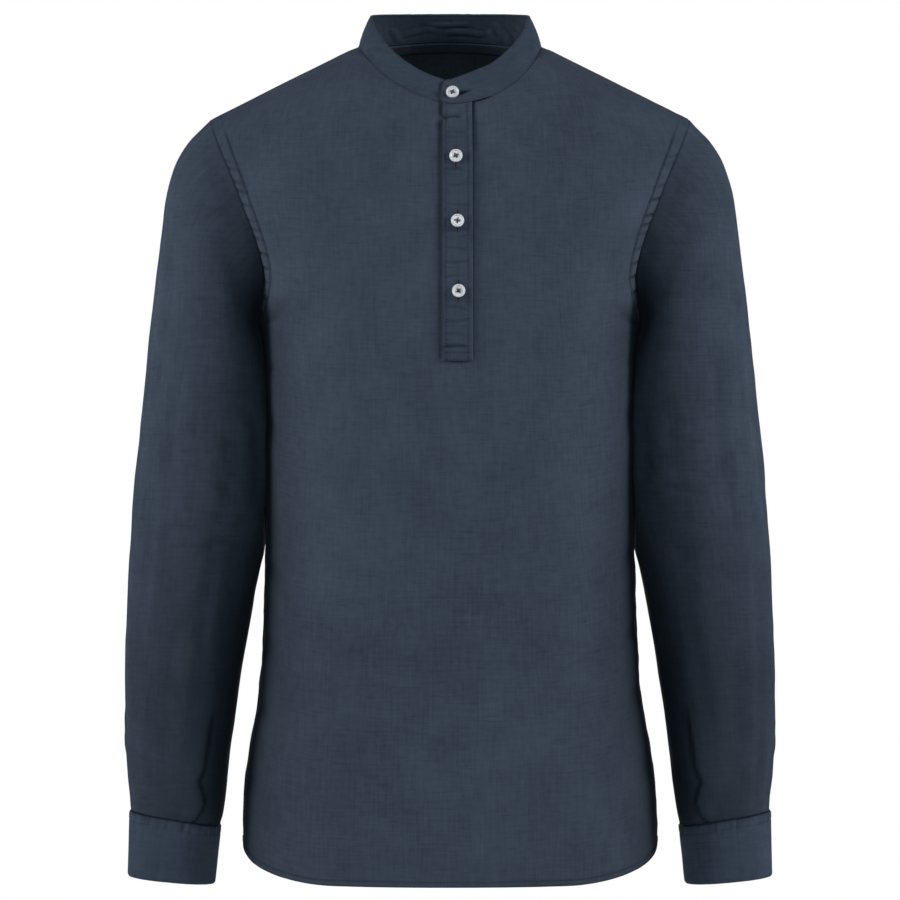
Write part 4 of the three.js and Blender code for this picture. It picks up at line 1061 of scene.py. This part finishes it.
def stood_on(points, seat, facing, size, turn):
    """Turns points from the button's own frame, with its axis along z, to stand on the cloth."""
    across = unit(np.cross([0, 0, 1.0], facing))
    up = np.cross(facing, across)
    c, s = np.cos(turn), np.sin(turn)
    first, second = across * c + up * s, up * c - across * s
    return seat + size * (points[..., :1] * first + points[..., 1:2] * second + points[..., 2:] * facing)


def surface_facing(point_at):
    """The seat and the way that a surface faces there, from two small steps across and up it."""
    middle, right, above = point_at(0, 0), point_at(1, 0), point_at(0, 1)
    return middle, unit(np.cross(right - middle, above - middle))


# %% Make the buttons
sides = 60
rings = button_rings(sides)
ring_count = rings.shape[0]
button_faces = grid_faces(ring_count, sides, True).reshape(-1, 4)
bars = thread_bars()
bar_faces = tube_faces(8, 6)
seats = []
for name, x, z in BUTTON_SPOTS:
    flat = lambda dx, dz, x=x, z=z: np.array([x + dx, -body_reach("front", x + dx, z + dz), z + dz])
    seat, facing = surface_facing(flat)
    tilted = unit(facing + [0, -1.0, 0])
    seats.append((name, seat + facing * (LAID_ON + DOUBLED + 0.9 + SHANK), tilted, 1.0, 0.35 * z))
collar_at = lambda dx, dz: band_point(np.array(np.radians(1.9 + dx / 1.4)), np.array(0.31 + dz / 24), np.array(2.5))
seat, facing = surface_facing(collar_at)
tilted = unit(facing + [0, -1.2, 0])  # it hangs forward a little on its thread shank
seats.append(("button_collar", seat + facing * (1.7 + SHANK), tilted, 1.0, 0.3))
for side, sign in (("left", 1), ("right", -1)):
    middle = np.radians(CUFF["lap_at"] + CUFF["lap"] / 2)
    cuff_at = lambda da, dz: cuff_point(0.5 + dz / 56, np.array(middle + da / 40), 2.5)
    seat, facing = surface_facing(cuff_at)
    seat, facing = seat * [sign, 1, 1], facing * [sign, 1, 1]
    seats.append(("button_cuff_" + side, seat + facing * (0.3 + SHANK), facing, 0.88, 0.5))
buttons, threads = [], []
for name, seat, facing, size, turn in seats:
    points = stood_on(rings, seat, facing, size, turn).reshape(-1, 3)
    button = make_mesh(name + "_shell", points, button_faces)
    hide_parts(name)
    buttons.append(button)
    threads.append(stood_on(bars, seat, facing, size, turn))
threads = np.concatenate(threads)
thread_faces = bar_faces + (np.arange(len(threads)) * threads.shape[1])[:, None, None]
button_threads = make_mesh("button_threads", threads.reshape(-1, 3), thread_faces.reshape(-1, 3))
print("buttons:", len(buttons), "each with", len(button_faces), "faces")

# %% [markdown]
# ## Finishes
# The cloth is garment-dyed linen in a plain weave. Linen yarn is spun unevenly, so thick slubs run along
# and across the cloth, and garment dyeing leaves soft clouds of deeper and paler navy. Each piece also
# carries painted shade, darkest at its seams, stitches and folds and under the arms. The weave reads each
# piece's own UV map, and the clouds read Object coordinates, so that they cross the seams as they do on a
# garment dyed whole.

# %% Material helpers
def linear(code):
    """An sRGB hex value as linear red, green, blue and alpha."""
    parts = [int(code[k:k + 2], 16) / 255 for k in (1, 3, 5)]
    return [c / 12.92 if c <= 0.04045 else ((c + 0.055) / 1.055) ** 2.4 for c in parts] + [1.0]


def node(tree, kind, settings=None, links=None):
    """Adds one node, sets its properties and unlinked sockets, and links the rest."""
    made = tree.nodes.new(kind)
    for key, value in (settings or {}).items():
        if isinstance(key, str) and hasattr(made, key):
            setattr(made, key, value)
        else:
            made.inputs[key].default_value = value
    for key, source in (links or {}).items():
        tree.links.new(source, made.inputs[key])
    return made


def new_material(name):
    material = bpy.data.materials.new(name)
    material.use_nodes = True
    material.node_tree.nodes.clear()
    return material, material.node_tree


# %% Linen
def linen(name, deep, pale, painted_shade_colour):
    """Plain-woven linen. Its yarns lie about 0.8 mm apart, drawn at 1 mm so that they just show, and the
    slubs are 10 to 25 mm long. Rough fibres give it a dull face and a faint sheen at the edges. Painted shade
    from a mesh attribute mixes the colour towards a near black."""
    material, tree = new_material(name)
    cloth = node(tree, "ShaderNodeUVMap", {"uv_map": "cloth"}).outputs[0]
    place = node(tree, "ShaderNodeTexCoord").outputs["Object"]

    def yarns(scale, detail):
        stretched = node(tree, "ShaderNodeMapping", {"Scale": scale}, {"Vector": cloth})
        return node(tree, "ShaderNodeTexNoise", {"Scale": 1.0, "Detail": detail}, {"Vector": stretched.outputs[0]}).outputs[0]

    def clouds(scale, detail):
        return node(tree, "ShaderNodeTexNoise", {"Scale": scale, "Detail": detail}, {"Vector": place}).outputs[0]

    def added(value, weight, rest):
        settings = {"operation": "MULTIPLY_ADD", 1: weight}
        if not hasattr(rest, "node"):
            return node(tree, "ShaderNodeMath", {**settings, 2: rest}, {0: value}).outputs[0]
        return node(tree, "ShaderNodeMath", settings, {0: value, 2: rest}).outputs[0]

    weft, warp = yarns((38, 520, 1), 1.5), yarns((460, 28, 1), 1.5)
    slub = node(tree, "ShaderNodeMapRange", {"From Min": 0.6, "From Max": 0.8}, {"Value": yarns((45, 420, 1), 2.0)})
    tall_slub = node(tree, "ShaderNodeMapRange", {"From Min": 0.62, "From Max": 0.8}, {"Value": yarns((480, 40, 1), 2.0)})
    dye = added(clouds(24, 4.0), 0.7, -0.83)
    dye = added(clouds(7, 2.0), 0.45, dye)
    dye = added(clouds(150, 3.0), 0.5, dye)
    dye = added(weft, 0.5, dye)
    dye = added(warp, 0.55, dye)
    dye = added(slub.outputs[0], -0.3, dye)
    dye = added(tall_slub.outputs[0], 0.3, dye)
    held = node(tree, "ShaderNodeClamp", {}, {"Value": dye})
    colour = node(tree, "ShaderNodeMix", {"data_type": "RGBA"}, {"Factor": held.outputs[0]})
    colour.inputs[6].default_value, colour.inputs[7].default_value = linear(deep), linear(pale)
    # The attribute read here is painted shade: it mixes the colour towards a near black at seams, folds, under the arms
    # and inside, and less of it leaves a painted highlight.
    painted_shade = node(tree, "ShaderNodeAttribute", {"attribute_name": "painted_shade"}).outputs["Fac"]
    shaded = node(tree, "ShaderNodeMix", {"data_type": "RGBA"}, {"Factor": painted_shade, 6: colour.outputs[2]})
    shaded.inputs[7].default_value = linear(painted_shade_colour)
    height = added(weft, 0.6, added(warp, 0.6, added(slub.outputs[0], 0.8, added(clouds(400, 2.0), 0.5, 0.0))))
    raised = node(tree, "ShaderNodeBump", {"Strength": 0.5, "Distance": 0.0004}, {"Height": height})
    shader = node(tree, "ShaderNodeBsdfPrincipled",
                  {"Roughness": 0.92, "Sheen Weight": 0.06, "Sheen Roughness": 0.45, "Sheen Tint": linear("#8f9bb0"),
                   "Specular IOR Level": 0.12},
                  {"Base Color": shaded.outputs[2], "Normal": raised.outputs[0]})
    node(tree, "ShaderNodeOutputMaterial", {}, {"Surface": shader.outputs[0]})
    return material


# The last colour of each is the near black of the painted shade.
single_linen = linen("dyed_linen_with_painted_shade", "#2d3843", "#46505e", "#05121a")
doubled_linen = linen("dyed_linen_doubled_with_painted_shade", "#2a3742", "#424c5b", "#05121a")
for piece in [front, back, under, *sleeves.values(), neck_strip]:
    piece.data.materials.append(single_linen)
for piece in [band, placket, *cuffs.values(), *vents.values()]:
    piece.data.materials.append(doubled_linen)


# %% Thread and buttons
def sewing_thread(name, code, pale="#2a3541"):
    """Spun polyester thread: matt, with a fine twist that shows as small changes of tone."""
    material, tree = new_material(name)
    place = node(tree, "ShaderNodeTexCoord").outputs["Object"]
    twist = node(tree, "ShaderNodeTexNoise", {"Scale": 900.0, "Detail": 1.0}, {"Vector": place})
    tone = node(tree, "ShaderNodeMix", {"data_type": "RGBA"}, {"Factor": twist.outputs[0]})
    tone.inputs[6].default_value, tone.inputs[7].default_value = linear(code), linear(pale)
    shader = node(tree, "ShaderNodeBsdfPrincipled", {"Roughness": 0.7, "Sheen Weight": 0.1},
                  {"Base Color": tone.outputs[2]})
    node(tree, "ShaderNodeOutputMaterial", {}, {"Surface": shader.outputs[0]})
    return material


def polyester_shell(name):
    """Cast polyester made to look like shell: pale, faintly clouded, with a soft gloss."""
    material, tree = new_material(name)
    place = node(tree, "ShaderNodeTexCoord").outputs["Object"]
    layers = node(tree, "ShaderNodeTexNoise", {"Scale": 260.0, "Detail": 3.0, "Distortion": 1.2}, {"Vector": place})
    tone = node(tree, "ShaderNodeMix", {"data_type": "RGBA"}, {"Factor": layers.outputs[0]})
    tone.inputs[6].default_value, tone.inputs[7].default_value = linear("#c8ced2"), linear("#e9ebec")
    shader = node(tree, "ShaderNodeBsdfPrincipled", {"Roughness": 0.28, "IOR": 1.54, "Coat Weight": 0.3},
                  {"Base Color": tone.outputs[2]})
    node(tree, "ShaderNodeOutputMaterial", {}, {"Surface": shader.outputs[0]})
    return material


navy_thread = sewing_thread("spun_polyester_thread", "#232c37")
hole_thread = sewing_thread("buttonhole_thread", "#10171e", "#1f2933")
shell = polyester_shell("polyester_shell")
for piece in [body_stitches, front_stitches, cuff_stitches, buttonholes, button_threads]:
    piece.data.materials.append(hole_thread if piece in (buttonholes, button_threads) else navy_thread)
for button in buttons:
    button.data.materials.append(shell)
for name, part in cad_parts.items():
    part.data.materials.clear()
    part.data.materials.append(shell if name.startswith("button") else single_linen)

# %% [markdown]
# ## Floor, light and camera
# A garment is often shot against white between two large softboxes that stand well to the sides, so that
# the sleeves shade softly towards the body; painted shade on the sleeves' inner sides and the body's flanks
# deepens this. A weak box in front opens the shadows, one behind lights the back, and the world adds a
# faint cool fill. The camera sees the world as plain white.

# %% Floor
FLOOR = {"z": -1.45, "radius": 2.6, "sides": 96}
floor_angle = np.linspace(0, 2 * np.pi, FLOOR["sides"], endpoint=False)
floor_ring = np.stack([FLOOR["radius"] * np.cos(floor_angle), FLOOR["radius"] * np.sin(floor_angle),
                       np.full(FLOOR["sides"], FLOOR["z"])], -1)
floor_mesh = bpy.data.meshes.new("floor")
floor_mesh.from_pydata(floor_ring.tolist(), [], [list(range(FLOOR["sides"]))])
floor = bpy.data.objects.new("floor", floor_mesh)
bpy.context.scene.collection.objects.link(floor)
pale, tree = new_material("pale_floor")
shader = node(tree, "ShaderNodeBsdfPrincipled", {"Base Color": linear("#f0f0ee"), "Roughness": 0.8})
node(tree, "ShaderNodeOutputMaterial", {}, {"Surface": shader.outputs[0]})
floor.data.materials.append(pale)

# %% World and lights
world = bpy.data.worlds.new("studio")
bpy.context.scene.world = world
world.use_nodes = True
tree = world.node_tree
tree.nodes.clear()
ray = node(tree, "ShaderNodeLightPath")
fill = node(tree, "ShaderNodeBackground", {"Color": linear("#7fd6ee"), "Strength": 0.075})
white = node(tree, "ShaderNodeBackground", {"Color": linear("#ffffff"), "Strength": 1.0})
seen = node(tree, "ShaderNodeMixShader", {}, {0: ray.outputs["Is Camera Ray"], 1: fill.outputs[0], 2: white.outputs[0]})
node(tree, "ShaderNodeOutputWorld", {}, {"Surface": seen.outputs[0]})


def softbox(name, azimuth, height, reach, size, watts, code="#ffffff"):
    """An area light on a circle round the shirt, turned to its middle. An azimuth of 0 is in front."""
    light = bpy.data.lights.new(name, "AREA")
    light.shape, light.color = "RECTANGLE", linear(code)[:3]
    light.size, light.size_y, light.energy = size[0], size[1], watts
    lamp = bpy.data.objects.new(name, light)
    bpy.context.scene.collection.objects.link(lamp)
    turned = np.radians(azimuth)
    lamp.location = (reach * np.sin(turned), -reach * np.cos(turned), height)
    lamp.rotation_euler = (Vector((0, 0, -0.38)) - lamp.location).to_track_quat("-Z", "Y").to_euler()
    return lamp


softbox("left_box", -70, 0.7, 2.8, (0.8, 1.3), 68, "#fff9fc")
softbox("right_box", 70, 0.7, 2.8, (0.8, 1.3), 68, "#fff9fc")
softbox("front_box", 0, 0.9, 4.2, (1.0, 1.0), 32, "#f2f8fa")
softbox("back_box", 180, 0.5, 3.0, (1.8, 1.4), 60, "#f4f6ff")
scene = bpy.context.scene
scene.view_settings.view_transform = "Standard"

# %% Camera
camera_data = bpy.data.cameras.new("camera")
camera_data.lens, camera_data.sensor_width = 160, 36
camera = bpy.data.objects.new("camera", camera_data)
scene.collection.objects.link(camera)
camera.location = (0, -3.6, -0.3627)
camera.rotation_euler = (np.pi / 2, 0, 0)
scene.camera = camera
